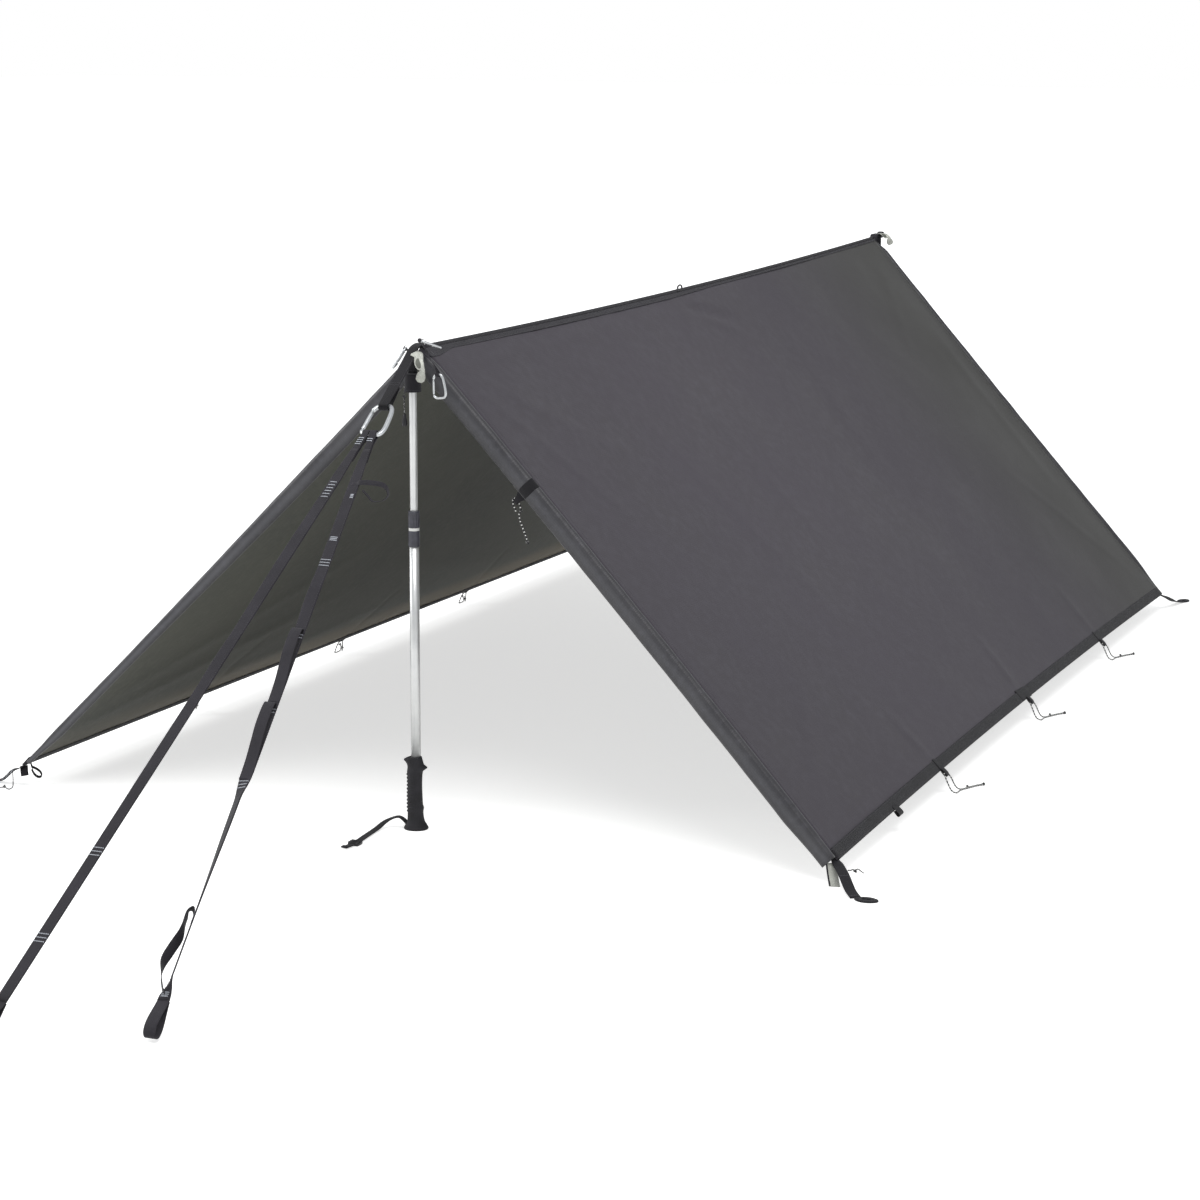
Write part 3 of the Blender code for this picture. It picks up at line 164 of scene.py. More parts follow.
def slope(side, u, v):
    """A point of the cloth: u runs from the front to the rear, v from the ridge to the bottom edge."""
    top, foot = ridge_point(u), corner(side, "front").lerp(corner(side, "rear"), u)
    down = (foot - top).normalized()
    inward = Vector((-SIGN[side], 0, 0))
    inward = (inward - down * inward.dot(down)).normalized()
    length_bow, height_bow = 4 * u * (1 - u), 4 * v * (1 - v)
    point = top.lerp(foot, v) - down * BOTTOM_SAG[side] * length_bow * v * v
    point += inward * BELLY[side] * length_bow * height_bow
    point.y += 0.012 * height_bow * (1 - 2 * u)
    return point


def outward(side, u, v):
    """The normal on the weather side."""
    step = 0.002
    along = slope(side, min(u + step, 1), v) - slope(side, max(u - step, 0), v)
    down = slope(side, u, min(v + step, 1)) - slope(side, u, max(v - step, 0))
    return along.cross(down).normalized() * -SIGN[side]


def slope_length(side, u):
    return (slope(side, u, 1) - slope(side, u, 0)).length


def fold(y, s, start, end, half, high):
    """The height at (y, s) of a crease from start to end, tapering to nothing at both ends."""
    a, b, p = Vector(start), Vector(end), Vector((y, s))
    along = b - a
    t = min(max((p - a).dot(along) / along.length_squared, 0), 1)
    far = (p - (a + along * t)).length / half
    return high * math.exp(-far * far) * math.sin(math.pi * min(max(t, 0.02), 0.98)) ** 0.7


# Each crease runs between two places on the flat cloth, in metres from the front and from the ridge.
CREASES = {
    "right": [((0.02, 0.06), (1.30, 0.045), 0.012, 0.0016), ((0.90, 0.10), (1.38, 0.035), 0.010, 0.0018),
              ((1.38, 0.05), (1.66, 0.115), 0.014, -0.0040), ((1.42, 0.035), (1.60, 0.065), 0.010, 0.0032),
              ((1.45, 0.09), (1.62, 0.15), 0.012, 0.0026), ((1.20, 0.09), (1.40, 0.055), 0.009, 0.0016),
              ((0.05, 0.05), (0.55, 0.40), 0.020, 0.0013), ((0.04, 0.07), (0.32, 0.55), 0.018, 0.0012),
              ((0.06, 1.28), (0.50, 0.95), 0.022, 0.0014), ((2.94, 0.05), (2.55, 0.42), 0.020, 0.0016),
              ((2.92, 1.27), (2.60, 0.80), 0.022, 0.0016), ((2.90, 0.30), (2.86, 0.95), 0.030, 0.0024),
              ((0.75, 1.33), (0.72, 1.16), 0.016, 0.0018), ((1.49, 1.33), (1.53, 1.14), 0.016, 0.0020),
              ((2.25, 1.33), (2.28, 1.16), 0.016, 0.0018), ((0.70, 0.25), (0.90, 0.95), 0.030, 0.0009),
              ((1.05, 0.20), (1.15, 0.85), 0.030, 0.0008), ((1.90, 0.15), (1.80, 0.70), 0.035, 0.0009)],
    "left": [((0.05, 1.26), (1.10, 1.02), 0.030, -0.0028), ((0.10, 1.18), (0.95, 0.80), 0.032, -0.0024),
             ((0.40, 1.30), (1.60, 1.20), 0.022, -0.0020), ((0.75, 1.33), (0.80, 1.12), 0.016, 0.0018),
             ((1.49, 1.33), (1.52, 1.12), 0.016, 0.0018), ((2.25, 1.33), (2.20, 1.14), 0.016, 0.0018),
             ((0.10, 0.06), (0.60, 0.45), 0.024, -0.0018), ((0.08, 0.08), (0.35, 0.62), 0.024, -0.0016),
             ((1.00, 0.90), (2.20, 1.22), 0.035, -0.0020), ((1.30, 0.70), (2.50, 1.05), 0.040, -0.0018),
             ((2.94, 0.05), (2.50, 0.45), 0.024, -0.0016), ((2.93, 1.26), (2.50, 0.85), 0.024, -0.0016)],
}


def creased(side, u, v):
    """How far the sewn cloth stands off its smooth slope, in metres."""
    y, s = LONG * u, DEEP * v
    rim = min(1, min(y, LONG - y) / 0.03, s / 0.012, (DEEP - s) / 0.02)
    broad = noise.noise(Vector((y * 2.1, s * 2.6, 3.1 if side == "right" else 8.4))) * 0.0022
    fine = noise.noise(Vector((y * 9.0 + s * 4.0, s * 7.0, 1.7))) * 0.0005
    return (broad + fine + sum(fold(y, s, *crease) for crease in CREASES[side])) * max(0, rim)


def weave(tree, uv, pitch, depth):
    """A plain weave of two crossed thread waves, pitch metres apart: its pattern and its bump."""
    settings = {"Vector": uv, "Scale": 0.5 / pitch / 3.1416, "Distortion": 0.0}
    x, y = [node(tree, "TexWave", settings, wave_type="BANDS", bands_direction=way, wave_profile="SIN")
            for way in ("X", "Y")]
    threads = node(tree, "Math", {0: x.outputs["Fac"], 1: y.outputs["Fac"]}, operation="MULTIPLY")
    return threads, node(tree, "Bump", {"Strength": depth, "Distance": pitch * 0.4, "Height": threads})


def mottled(tree, scale, low, high, detail=3.0, spread=(0.35, 0.65), seed=0.0):
    """A slow change between two colours over the piece, and the pattern that makes it."""
    spots = node(tree, "TexNoise", {"Vector": on_piece(tree), "W": seed, "Scale": scale,
                                    "Detail": detail}, noise_dimensions="4D")
    even = node(tree, "MapRange", {"Value": spots, "From Min": spread[0], "From Max": spread[1]})
    return node(tree, "Mix", {"Factor": even, 6: low, 7: high}, data_type="RGBA"), even


def shaded(tree, colour, pattern, low, high, start=0.0, end=1.0):
    """The colour times low to high, as the pattern goes from start to end."""
    shade = node(tree, "MapRange", {"Value": pattern, "From Min": start, "From Max": end, "To Min": low,
                                    "To Max": high})
    return node(tree, "VectorMath", {0: colour, 1: shade}, operation="MULTIPLY")


# PU-coated polyester, woven fine: dark grey with a purple cast, with painted light over the slope and a painted
# olive reflection towards the rear.
outer_cloth, tree, shader = surface("PU-coated polyester, weather side", 0.52, IOR=1.5, Specular_IOR_Level=0.32,
                                    Sheen_Weight=0.06)
colour, patches = mottled(tree, 3.2, "413C43", "48434B", 5.0)
colour, _ = mottled(tree, 46.0, colour, "4C4850", 3.0, (0.42, 0.85), 2.0)
flat_place = node(tree, "UVMap", uv_map="cloth")
# painted light: the colour is brightest round a spot near the middle of the slope and dims away from it
from_painted_light_pool = node(tree, "VectorMath", {0: flat_place, 1: (1.15, 0.50, 0.0)}, operation="DISTANCE")
colour = shaded(tree, colour, from_painted_light_pool, 1.03, 0.84, 0.25, 1.25)
# painted reflection: an olive tint mixed in towards the rear end
place = node(tree, "SeparateXYZ", {"Vector": on_piece(tree)})
painted_reflection_rearward = node(tree, "MapRange", {"Value": place.outputs["Y"], "From Min": 0.45, "From Max": 1.45, "To Max": 0.85},
                interpolation_type="SMOOTHSTEP")
colour = node(tree, "Mix", {"Factor": painted_reflection_rearward, 6: colour, 7: "3F3F3A"}, data_type="RGBA")
# real threads lie about 0.25 mm apart; drawn at 2.2 mm so that the weave shows
threads, bump = weave(tree, flat_place, 0.0022, 0.16)
rough = node(tree, "MapRange", {"Value": patches, "To Min": 0.46, "To Max": 0.60})
dress(shader, Base_Color=shaded(tree, colour, threads, 0.93, 1.05), Roughness=rough, Normal=bump)

# The same cloth's coated back: olive grey, smoother, with the weave showing through.
inner_cloth, tree, shader = surface("PU-coated polyester, inner side", 0.58, IOR=1.5, Specular_IOR_Level=0.30)
colour, _ = mottled(tree, 2.4, "50524A", "5B5C51", 4.0)
colour, _ = mottled(tree, 60.0, colour, "63645A", 2.0, (0.45, 0.9), 4.0)
# painted light: a pale tan strip along the bottom edge, where the belly of the cloth catches the light; it is
# widest by the middle
flat_place = node(tree, "UVMap", uv_map="cloth")
apart = node(tree, "SeparateXYZ", {"Vector": flat_place})
low = node(tree, "MapRange", {"Value": apart.outputs["Y"], "From Min": 1.225, "From Max": 1.300},
           interpolation_type="SMOOTHSTEP")
mid = node(tree, "MapRange", {"Value": apart.outputs["X"], "From Min": 0.1, "From Max": 1.1, "To Min": 0.20})
painted_light_strip = node(tree, "Math", {0: low, 1: mid}, operation="MULTIPLY")
colour = node(tree, "Mix", {"Factor": painted_light_strip, 6: colour, 7: "857C69"}, data_type="RGBA")
# the threads show through the coating; drawn at 3 mm, about twelve times coarser than real
threads, bump = weave(tree, flat_place, 0.0030, 0.20)
dress(shader, Base_Color=shaded(tree, colour, threads, 0.92, 1.05), Normal=bump)


def joined(shapes):
    """Several closed shapes as the points, faces and UVs of one mesh."""
    points, faces, uvs = [], [], []
    for some, their_faces, their_uvs in shapes:
        faces += [tuple(i + len(points) for i in face) for face in their_faces]
        points += some
        uvs += their_uvs
    return points, faces, uvs


def add_piece(name, shapes, finish, body, nodes=(), uv_name="weave", kinds=None):
    """Shapes as one piece on a body, in place of CAD nodes. finish is a material, or a list of one a shape.

    kinds gives the material of each face of the cloth, whose faces already point outwards.
    """
    points, faces, uvs = joined(shapes)
    mesh = bpy.data.meshes.new(name)
    mesh.from_pydata([tuple(p) for p in points], [], faces)
    layer = mesh.uv_layers.new(name=uv_name)
    layer.data.foreach_set("uv", [c for face in uvs for uv in face for c in uv])
    for material in finish if isinstance(finish, list) else [finish]:
        mesh.materials.append(material)
    if isinstance(finish, list):
        mesh.polygons.foreach_set("material_index", kinds or [i for i, some in enumerate(shapes) for _ in some[1]])
    if not kinds:
        shell = bmesh.new()
        shell.from_mesh(mesh)
        bmesh.ops.recalc_face_normals(shell, faces=shell.faces)
        shell.to_mesh(mesh)
        shell.free()
    mesh.shade_smooth()
    mesh.validate()
    item = add_object(name, mesh)
    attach(item, body)
    if nodes:
        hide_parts(*nodes)
    return item


for side in SIGN:
    # each slope is a thin closed shell, its weather side and inner side in their own finishes
    columns, rows, start = 190, 86, RIDGE_GAP / slope_length(side, 0.5)
    tops, unders, flat = [], [], []
    for i in range(columns + 1):
        for j in range(rows + 1):
            u, v = i / columns, start + (1 - start) * j / rows
            normal = outward(side, u, v)
            middle = slope(side, u, v) + normal * creased(side, u, v)
            tops.append(middle + normal * CLOTH_GAUGE / 2)
            unders.append(middle - normal * CLOTH_GAUGE / 2)
            flat.append((LONG * u, DEEP * v))
    count, stride = len(tops), rows + 1
    faces, kinds = [], []
    for a in (i * stride + j for i in range(columns) for j in range(rows)):
        b, c, d = a + 1, a + stride + 1, a + stride
        faces += [(a, b, c, d), (a + count, d + count, c + count, b + count)]
        kinds += [0, 1]
    rim = [(j, j + 1) for j in range(rows)] + [(i * stride + rows, (i + 1) * stride + rows) for i in range(columns)]
    rim += [(columns * stride + j + 1, columns * stride + j) for j in reversed(range(rows))]
    rim += [((i + 1) * stride, i * stride) for i in reversed(range(columns))]
    faces += [(b, a, a + count, b + count) for a, b in rim]
    kinds += [0] * len(rim)
    if side == "left":
        faces = [face[::-1] for face in faces]
    uvs = [[flat[i % count] for i in face] for face in faces]
    item = add_piece(f"{side}_cloth", [(tops + unders, faces, uvs)], [outer_cloth, inner_cloth], f"{side}_slope",
                     [f"{side}_panel"], "cloth", kinds)

# The hems: the cloth's front and rear edges, turned under twice into a flattened roll and sewn down.
# The roll is softly wrinkled across, with two rows of dark stitches just inside the edge.


def ramp(value, start, end):
    t = min(max((value - start) / (end - start), 0), 1)
    return t * t * (3 - 2 * t)


def shape(rings, closed=False):
    """Sections of equally many points joined up, with a UV in metres: round the section, then along it."""
    count, runs = len(rings[0]), len(rings)
    centres = [sum(ring, Vector()) / count for ring in rings]
    along = [0.0]
    for p, q in zip(centres, centres[1:] + centres[:1]):
        along.append(along[-1] + (q - p).length)
    widest = max(rings, key=lambda ring: (ring[0] - ring[count // 2]).length)
    around = [0.0]
    for p, q in zip(widest, widest[1:] + widest[:1]):
        around.append(around[-1] + (q - p).length)
    faces, uvs = [], []
    for i in range(runs if closed else runs - 1):
        near, far = i * count, (i + 1) % runs * count
        for j in range(count):
            k = (j + 1) % count
            faces.append((near + j, near + k, far + k, far + j))
            uvs.append([(around[x], along[y]) for x, y in ((j, i), (j + 1, i), (j + 1, i + 1), (j, i + 1))])
    if not closed:
        for first, way in ((0, -1), ((runs - 1) * count, 1)):
            ends = list(range(first, first + count))[::way]
            faces.append(tuple(ends))
            uvs.append([(around[i - first], along[0 if way < 0 else runs - 1]) for i in ends])
    return [p for ring in rings for p in ring], faces, uvs


def hem_section(side, end, v):
    """The centre of the rolled hem beyond the cloth's edge, and its two half axes."""
    u, sign = (0, -1) if end == "front" else (1, 1)
    inside = -outward(side, u, v)
    forward = Vector((0, sign, 0))
    forward = (forward - inside * forward.dot(inside)).normalized()
    return slope(side, u, v) + forward * 0.0095 + inside * 0.014, forward * 0.012, inside * 0.020


# The same coated cloth with its thickness doubled: a cooler and smoother grey, with a pale painted highlight along
# the roll's crest.
hem_cloth, tree, shader = surface("PU-coated polyester, rolled hem", 0.44, IOR=1.5, Specular_IOR_Level=0.45,
                                  Sheen_Weight=0.08)
uv = node(tree, "UVMap", uv_map="weave")
colour, _ = mottled(tree, 9.0, "333236", "403F42", 4.0)
colour, _ = mottled(tree, 70.0, colour, "4A494F", 2.0, (0.5, 0.9), 5.0)
# painted highlight: a pale line along the roll's crest, stronger on the left slope's hems
round_it = node(tree, "SeparateXYZ", {"Vector": uv}).outputs["X"]
from_crest = node(tree, "Math", {0: round_it, 1: 0.048}, operation="SUBTRACT")
from_crest = node(tree, "Math", {0: from_crest}, operation="ABSOLUTE")
crest_highlight = node(tree, "MapRange", {"Value": from_crest, "From Min": 0.0150, "From Max": 0.0},
             interpolation_type="SMOOTHSTEP")
which = node(tree, "SeparateXYZ", {"Vector": on_piece(tree)})
painted_highlight_strength = node(tree, "MapRange", {"Value": which.outputs["X"], "From Min": -0.9, "From Max": 0.05, "To Min": 0.32,
                                 "To Max": 0.14})
crest_highlight = node(tree, "Math", {0: crest_highlight, 1: painted_highlight_strength}, operation="MULTIPLY")
colour = node(tree, "Mix", {"Factor": crest_highlight, 6: colour, 7: "85868C"}, data_type="RGBA")
# drawn at 2.2 mm, as on the slopes, so that the weave shows
threads, bump = weave(tree, uv, 0.0022, 0.2)
# the rolled edge puckers across itself, some 20 mm from crest to crest
stretch = node(tree, "Mapping", {"Vector": uv, "Scale": (9.0, 46.0, 1.0)})
puckers = node(tree, "TexNoise", {"Vector": stretch, "Scale": 1.0, "Detail": 3.0})
bump = node(tree, "Bump", {"Strength": 0.4, "Distance": 0.003, "Height": puckers, "Normal": bump})
dress(shader, Base_Color=shaded(tree, colour, threads, 0.94, 1.04), Normal=bump)

# Spun polyester thread: dark grey for the seams, pale and reflective for the bar tacks.
seam_thread = surface("polyester thread, dark", 0.6, Sheen_Weight=0.2, Base_Color="3C3B41")[0]
tack_thread = surface("reflective polyester thread", 0.42, Sheen_Weight=0.3, Base_Color="B4B8C0")[0]

# Geometry nodes that set a small thread stitch at even steps along each seam, lying on its facing side.
tree = stitch_tree = bpy.data.node_groups.new("stitches along a seam", "GeometryNodeTree")
sockets = {"Geometry": "Geometry", "Spacing": "Float", "Along": "Float", "Across": "Float", "Proud": "Float",
           "Thread": "Material"}
for name, kind in sockets.items():
    tree.interface.new_socket(name, in_out="INPUT", socket_type=f"NodeSocket{kind}")
tree.interface.new_socket("Geometry", in_out="OUTPUT", socket_type="NodeSocketGeometry")
given = node(tree, "NodeGroupInput").outputs
seam = node(tree, "GeometryNodeMeshToCurve", {"Mesh": given["Geometry"]})
even = node(tree, "GeometryNodeResampleCurve", {"Curve": seam, "Length": given["Spacing"]}, mode="LENGTH")
facing = node(tree, "GeometryNodeInputNamedAttribute", {"Name": "facing"}, data_type="FLOAT_VECTOR")
turn = node(tree, "FunctionNodeAxesToRotation", {0: facing, 1: node(tree, "GeometryNodeInputTangent")},
            primary_axis="Z", secondary_axis="X")
ball = node(tree, "GeometryNodeMeshUVSphere", {"Segments": 6, "Rings": 4, "Radius": 0.5})
size = node(tree, "CombineXYZ", {0: given["Along"], 1: given["Across"], 2: given["Proud"]})
stitch = node(tree, "GeometryNodeTransform", {"Geometry": ball, "Scale": size})
rows = node(tree, "GeometryNodeInstanceOnPoints", {"Points": even, "Instance": stitch, "Rotation": turn})
real = node(tree, "GeometryNodeRealizeInstances", {"Geometry": rows})
painted = node(tree, "GeometryNodeSetMaterial", {"Geometry": real, "Material": given["Thread"]})
node(tree, "NodeGroupOutput", {"Geometry": painted})


def add_stitches(name, seams, body, sizes, thread=seam_thread):
    """Stitches on seams, each a list of (point, facing direction) pairs, as one plain mesh.

    sizes are their spacing, length, width and height in millimetres.
    """
    points, edges, facings = [], [], []
    for seam in seams:
        edges += [(len(points) + i, len(points) + i + 1) for i in range(len(seam) - 1)]
        points += [tuple(point) for point, _ in seam]
        facings += [c for _, facing in seam for c in facing.normalized()]
    mesh = bpy.data.meshes.new(f"{name} seams")
    mesh.from_pydata(points, edges, [])
    mesh.attributes.new("facing", "FLOAT_VECTOR", "POINT").data.foreach_set("vector", facings)
    item = add_object(name, mesh)
    step = item.modifiers.new("stitches", "NODES")
    step.node_group = stitch_tree
    values = dict(zip(("Spacing", "Along", "Across", "Proud"), (size / 1000 for size in sizes)), Thread=thread)
    for socket in stitch_tree.interface.items_tree:
        if socket.in_out == "INPUT" and socket.name in values:
            step[socket.identifier] = values[socket.name]
    bpy.context.view_layer.update()
    done = bpy.data.meshes.new_from_object(item.evaluated_get(bpy.context.evaluated_depsgraph_get()))
    item.modifiers.clear()
    item.data = done
    if not done.materials:
        done.materials.append(thread)
    done.shade_smooth()
    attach(item, body)


def add_hem(side, end):
    """The rolled edge: a rounded flat section, pinched here and there, that runs out thin at both its ends."""
    near, rings, sides, runs = (side, end) == ("right", "front"), [], 22, 150
    for i in range(runs + 1):
        v = 0.010 + (0.984 if near else 0.975) * i / runs
        centre, wide, deep = hem_section(side, end, v)
        slim = (0.86 - 0.36 * ramp(v, 0.20, 0.80)) if side == "left" else 1
        slim *= (0.45 + 0.55 * ramp(v, 0.008, 0.045)) * (1 - (0.15 if near else 0.55) * ramp(v, 0.90, 0.985))
        edge = slope(side, 0 if end == "front" else 1, v)
        centre, wide, deep = edge + (centre - edge) * (0.35 + 0.65 * slim), wide * (0.5 + 0.5 * slim), deep * slim
        ring = []
        for k in range(sides):
            t = 2 * math.pi * (k + 0.5) / sides + math.pi
            a, b = [math.copysign(abs(c) ** 0.82, c) for c in (math.cos(t), math.sin(t))]
            pinch = 1 + 0.035 * noise.noise(Vector((v * 26, t * 0.9, 2.0 if side == "right" else 6.0)))
            pinch -= 0.05 * math.exp(-((t - 3.9) / 0.16) ** 2)
            ring.append(centre + (wide * a + deep * b) * pinch)
        rings.append(ring)
    add_piece(f"{side}_{end}_rolled_hem", [shape(rings)], hem_cloth, f"{side}_slope", [f"{side}_{end}_hem"])


for side in SIGN:
    seams = []
    for end in ("front", "rear"):
        add_hem(side, end)
        for inset in (0.0022, 0.0085):
            u, seam = inset if end == "front" else 1 - inset, []
            for v in (0.03 + 0.945 * (k / 60) for k in range(61)):
                normal = outward(side, u, v)
                seam.append((slope(side, u, v) + normal * (CLOTH_GAUGE / 2 + creased(side, u, v)), normal))
            seams.append(seam)
    add_stitches(f"{side}_hem_stitches", seams, f"{side}_slope", (4.4, 3.2, 0.9, 0.7))

# The bindings: 25 mm polyester webbing sewn over the raw edges, along the bottom on the weather side.
# It stands a millimetre proud, with two rows of stitches, and folded tabs of it make the tie-outs.
SECTION = [(-1, 0), (-0.965, 0.8), (-0.88, 1), (0, 1), (0.88, 1), (0.965, 0.8),
           (1, 0), (0.965, -0.8), (0.88, -1), (0, -1), (-0.88, -1), (-0.965, -0.8)]


def tangents(points, closed=False):
    last = len(points) - 1
    found = []
    for i in range(len(points)):
        before = points[i - 1] if i or closed else points[0]
        after = points[(i + 1) % len(points)] if i < last or closed else points[last]
        found.append((after - before).normalized())
    return found


def band(points, across, width, thick, closed=False):
    """Webbing with rounded edges along a path. across, width and thick may be one value or one a point."""
    rings = []
    each = [some if isinstance(some, list) else [some] * len(points) for some in (across, width, thick)]
    for point, along, side, wide, deep in zip(points, tangents(points, closed), *each):
        side = (side - along * side.dot(along)).normalized()
        face = along.cross(side)
        rings.append([point + side * (wide / 2) * a + face * (deep / 2) * b for a, b in SECTION])
    return shape(rings, closed)


def smoothed(values, times):
    """Points, directions or numbers on a smooth curve through the given ones."""
    padded = [2 * values[0] - values[1], *values, 2 * values[-1] - values[-2]]
    fine = []
    for a, b, c, d in zip(padded, padded[1:], padded[2:], padded[3:]):
        for t in (k / times for k in range(times)):
            square, cube = 2 * a - 5 * b + 4 * c - d, 3 * b - a - 3 * c + d
            fine.append(0.5 * (2 * b + (c - a) * t + square * t * t + cube * t ** 3))
    return [*fine, values[-1]]


def webbing_of(name, low, high, roughness=0.72):
    """Polyester webbing: a ribbed plain weave that runs along the band, read from the piece's UV in metres."""
    made, tree, shader = surface(name, roughness, IOR=1.5, Specular_IOR_Level=0.35, Sheen_Weight=0.12)
    colour, _ = mottled(tree, 14.0, low, high, 4.0)
    # webbing picks are about 0.9 mm apart; drawn at 1.8 mm so that the ribs show
    uv = node(tree, "UVMap", uv_map="weave")
    stretch = node(tree, "Mapping", {"Vector": uv, "Scale": (1 / 0.0026, 1 / 0.0018, 1.0)})
    ribs = node(tree, "TexBrick", {
        "Vector": stretch, "Scale": 1.0, "Mortar Size": 0.16, "Mortar Smooth": 0.9, "Brick Width": 1.0,
        "Row Height": 0.5, "Color1": (1, 1, 1, 1), "Color2": (0.86, 0.86, 0.86, 1),
        "Mortar": (0.45, 0.45, 0.45, 1)}).outputs["Color"]
    woven = node(tree, "Mix", {"Factor": 0.55, 6: colour, 7: ribs}, data_type="RGBA", blend_type="MULTIPLY")
    bump = node(tree, "Bump", {"Strength": 0.45, "Distance": 0.0007, "Height": ribs})
    dress(shader, Base_Color=woven, Normal=bump)
    return made


# The straps and the ridge's webbing look near black with a violet cast. That of the lower edges, the corners and
# the front peak is woven more densely, so it looks darker and quite matt.
webbing = webbing_of("polyester webbing, black", "211E25", "2C2931")
dark_webbing = webbing_of("polyester webbing, denser weave", "0C0A10", "15131A", 0.8)


def edge_frame(side, u):
    """The bottom edge's outer corner, its direction down the slope, and the weather side's normal."""
    lip = slope(side, u, 1) + outward(side, u, 1) * 0.0017
    return lip, (slope(side, u, 1) - slope(side, u, 0.98)).normalized(), outward(side, u, 1)


def edge_along(side, u):
    return (slope(side, u + 0.01, 1) - slope(side, u - 0.01, 1)).normalized()


def turns(count):
    """Evenly spaced angles round a full turn."""
    return [2 * math.pi * k / count for k in range(count)]


def tie_tab(side, u):
    """A folded loop of narrow webbing standing out of the bottom edge."""
    lip, down, normal = edge_frame(side, u)
    loop = []
    for t in turns(28):
        squeeze = 1 - 0.35 * (1 - math.cos(t)) / 2
        stand = 0.0022 + 0.0035 * squeeze * math.sin(t)
        loop.append(lip + down * (0.0090 + 0.0108 * math.cos(t)) + normal * stand)
    return band(loop, edge_along(side, u), 0.018, 0.0014, True)


def patch(side, u, reach):
    """A doubled length of webbing wrapped over the binding where a tie-out tab is sewn in."""
    lip, down, normal = edge_frame(side, u)
    path = [lip - down * d + normal * (0.0011 if 0 < d < 0.027 else 0.0004)
            for d in (-0.0012, 0.001, 0.009, 0.018, 0.0265, 0.0285)]
    return band(path, edge_along(side, u), reach, 0.0010)


def label_fold():
    """The plain folded tab beside the front corner: a soft arch of webbing tape."""
    lip, down, normal = edge_frame("right", 0.135)
    spots = ((-0.006, 0.0016), (0.004, 0.0022), (0.012, 0.0026), (0.0165, 0.0010), (0.0165, -0.0022),
             (0.012, -0.0034), (0.003, -0.0030))
    path = smoothed([lip + down * d + normal * h for d, h in spots], 5)
    return band(path, edge_along("right", 0.135), 0.030, 0.0009)


for side in SIGN:
    body, share = f"{side}_slope", 0.013 / DEEP
    path, across, rows = [], [], [[], []]
    for i in range(181):
        u = i / 180
        normal = outward(side, u, 1 - share)
        wave = 0.0007 * noise.noise(Vector((u * 30, 0, 4)))
        path.append(slope(side, u, 1 - share) + normal * (0.0017 + wave))
        across.append(slope(side, u, 1) - slope(side, u, 1 - share))
        for row, place in zip(rows, (-0.0100, 0.0100)):
            row.append((path[-1] + across[-1].normalized() * place + normal * 0.0007, normal))
    inner_leg = [slope(side, i / 90, 1 - 0.0080 / DEEP) - outward(side, i / 90, 0.994) * 0.0016 for i in range(91)]
    parts = [band(path, across, 0.026, 0.0013), band(inner_leg, across[::2], 0.0185, 0.0011)]
    parts += [tie_tab(side, u) for u in (0.25, 0.5, 0.75)]
    parts += [patch(side, u, reach) for u, reach in ((0.25, 0.015), (0.75, 0.015), (0.5, 0.078))]
    if side == "right":
        parts.append(label_fold())
    add_piece(f"{side}_bottom_webbing", parts, dark_webbing, body, [f"{side}_bottom_binding"])
    add_stitches(f"{side}_bottom_stitches", rows, body, (5.0, 3.4, 0.9, 0.7))

# The ridge: 12 mm webbing on edge carries the pull between the peaks, and folded binding covers both seams.
# The binding is broad by the front end, where the small carabiners hang on it, and narrow towards the rear.
UP, ACROSS = Vector((0, 0, 1)), Vector((1, 0, 0))


def vectors(*rows):
    return [Vector(row) for row in rows]


def toward(vector, way):
    """The vector, or its opposite, whichever points the given way."""
    return -vector if vector.dot(way) < 0 else vector


def squared(along, across):
    along = along.normalized()
    return along, (across - along * across.dot(along)).normalized()


# A small carabiner's length, width, bar radius and taper, then each one's middle, long axis and width.
SMALL_CLIP = (0.052, 0.031, 0.0025, 0.20)
RIDGE_CLIP = vectors((0.0300, -1.530, 1.0115), (0.42, 0.84, -0.35), (0.90, -0.44, -0.08))
HEM_CLIP = vectors((-0.0412, -1.5205, 0.9798), (-0.568, 0, -0.823), (0.19, -0.97, -0.13))


def foot_bar(clip):
    """The centre of the bar at a small carabiner's hinge end."""
    return clip[0] - clip[1].normalized() * (SMALL_CLIP[0] / 2 - SMALL_CLIP[2])


def loop_around(centre, heading, normal, bar, thick):
    """Half a turn of webbing round a bar, from its upper side to its lower side."""
    reach = bar + 0.0003 + thick / 2
    half_turn = map(math.radians, range(0, 181, 30))
    return [centre + (normal * math.cos(t) + heading * math.sin(t)) * reach for t in half_turn]


def bar_loop(anchor, clip, sense, widths, first_across):
    """A webbing loop from its anchor points round a small carabiner's hinge-end bar."""
    along, across = squared(clip[1], clip[2])
    heading, bar_centre, thick = along * sense, foot_bar(clip), 0.0012
    normal = toward(along.cross(across), anchor[-1] - bar_centre)
    turn = loop_around(bar_centre + heading * 0.0003, heading, normal, 0.0030, thick)
    path = [*anchor, *turn, turn[-1] - heading * 0.004]
    tips = [first_across.lerp(across, min(1, max(0, (i - 1) / (len(anchor) - 1)))) for i in range(len(path))]
    widths = widths + [widths[-1]] * (len(path) - len(widths))
    return band(smoothed(path, 4), smoothed(tips, 4), smoothed(widths, 4), thick)


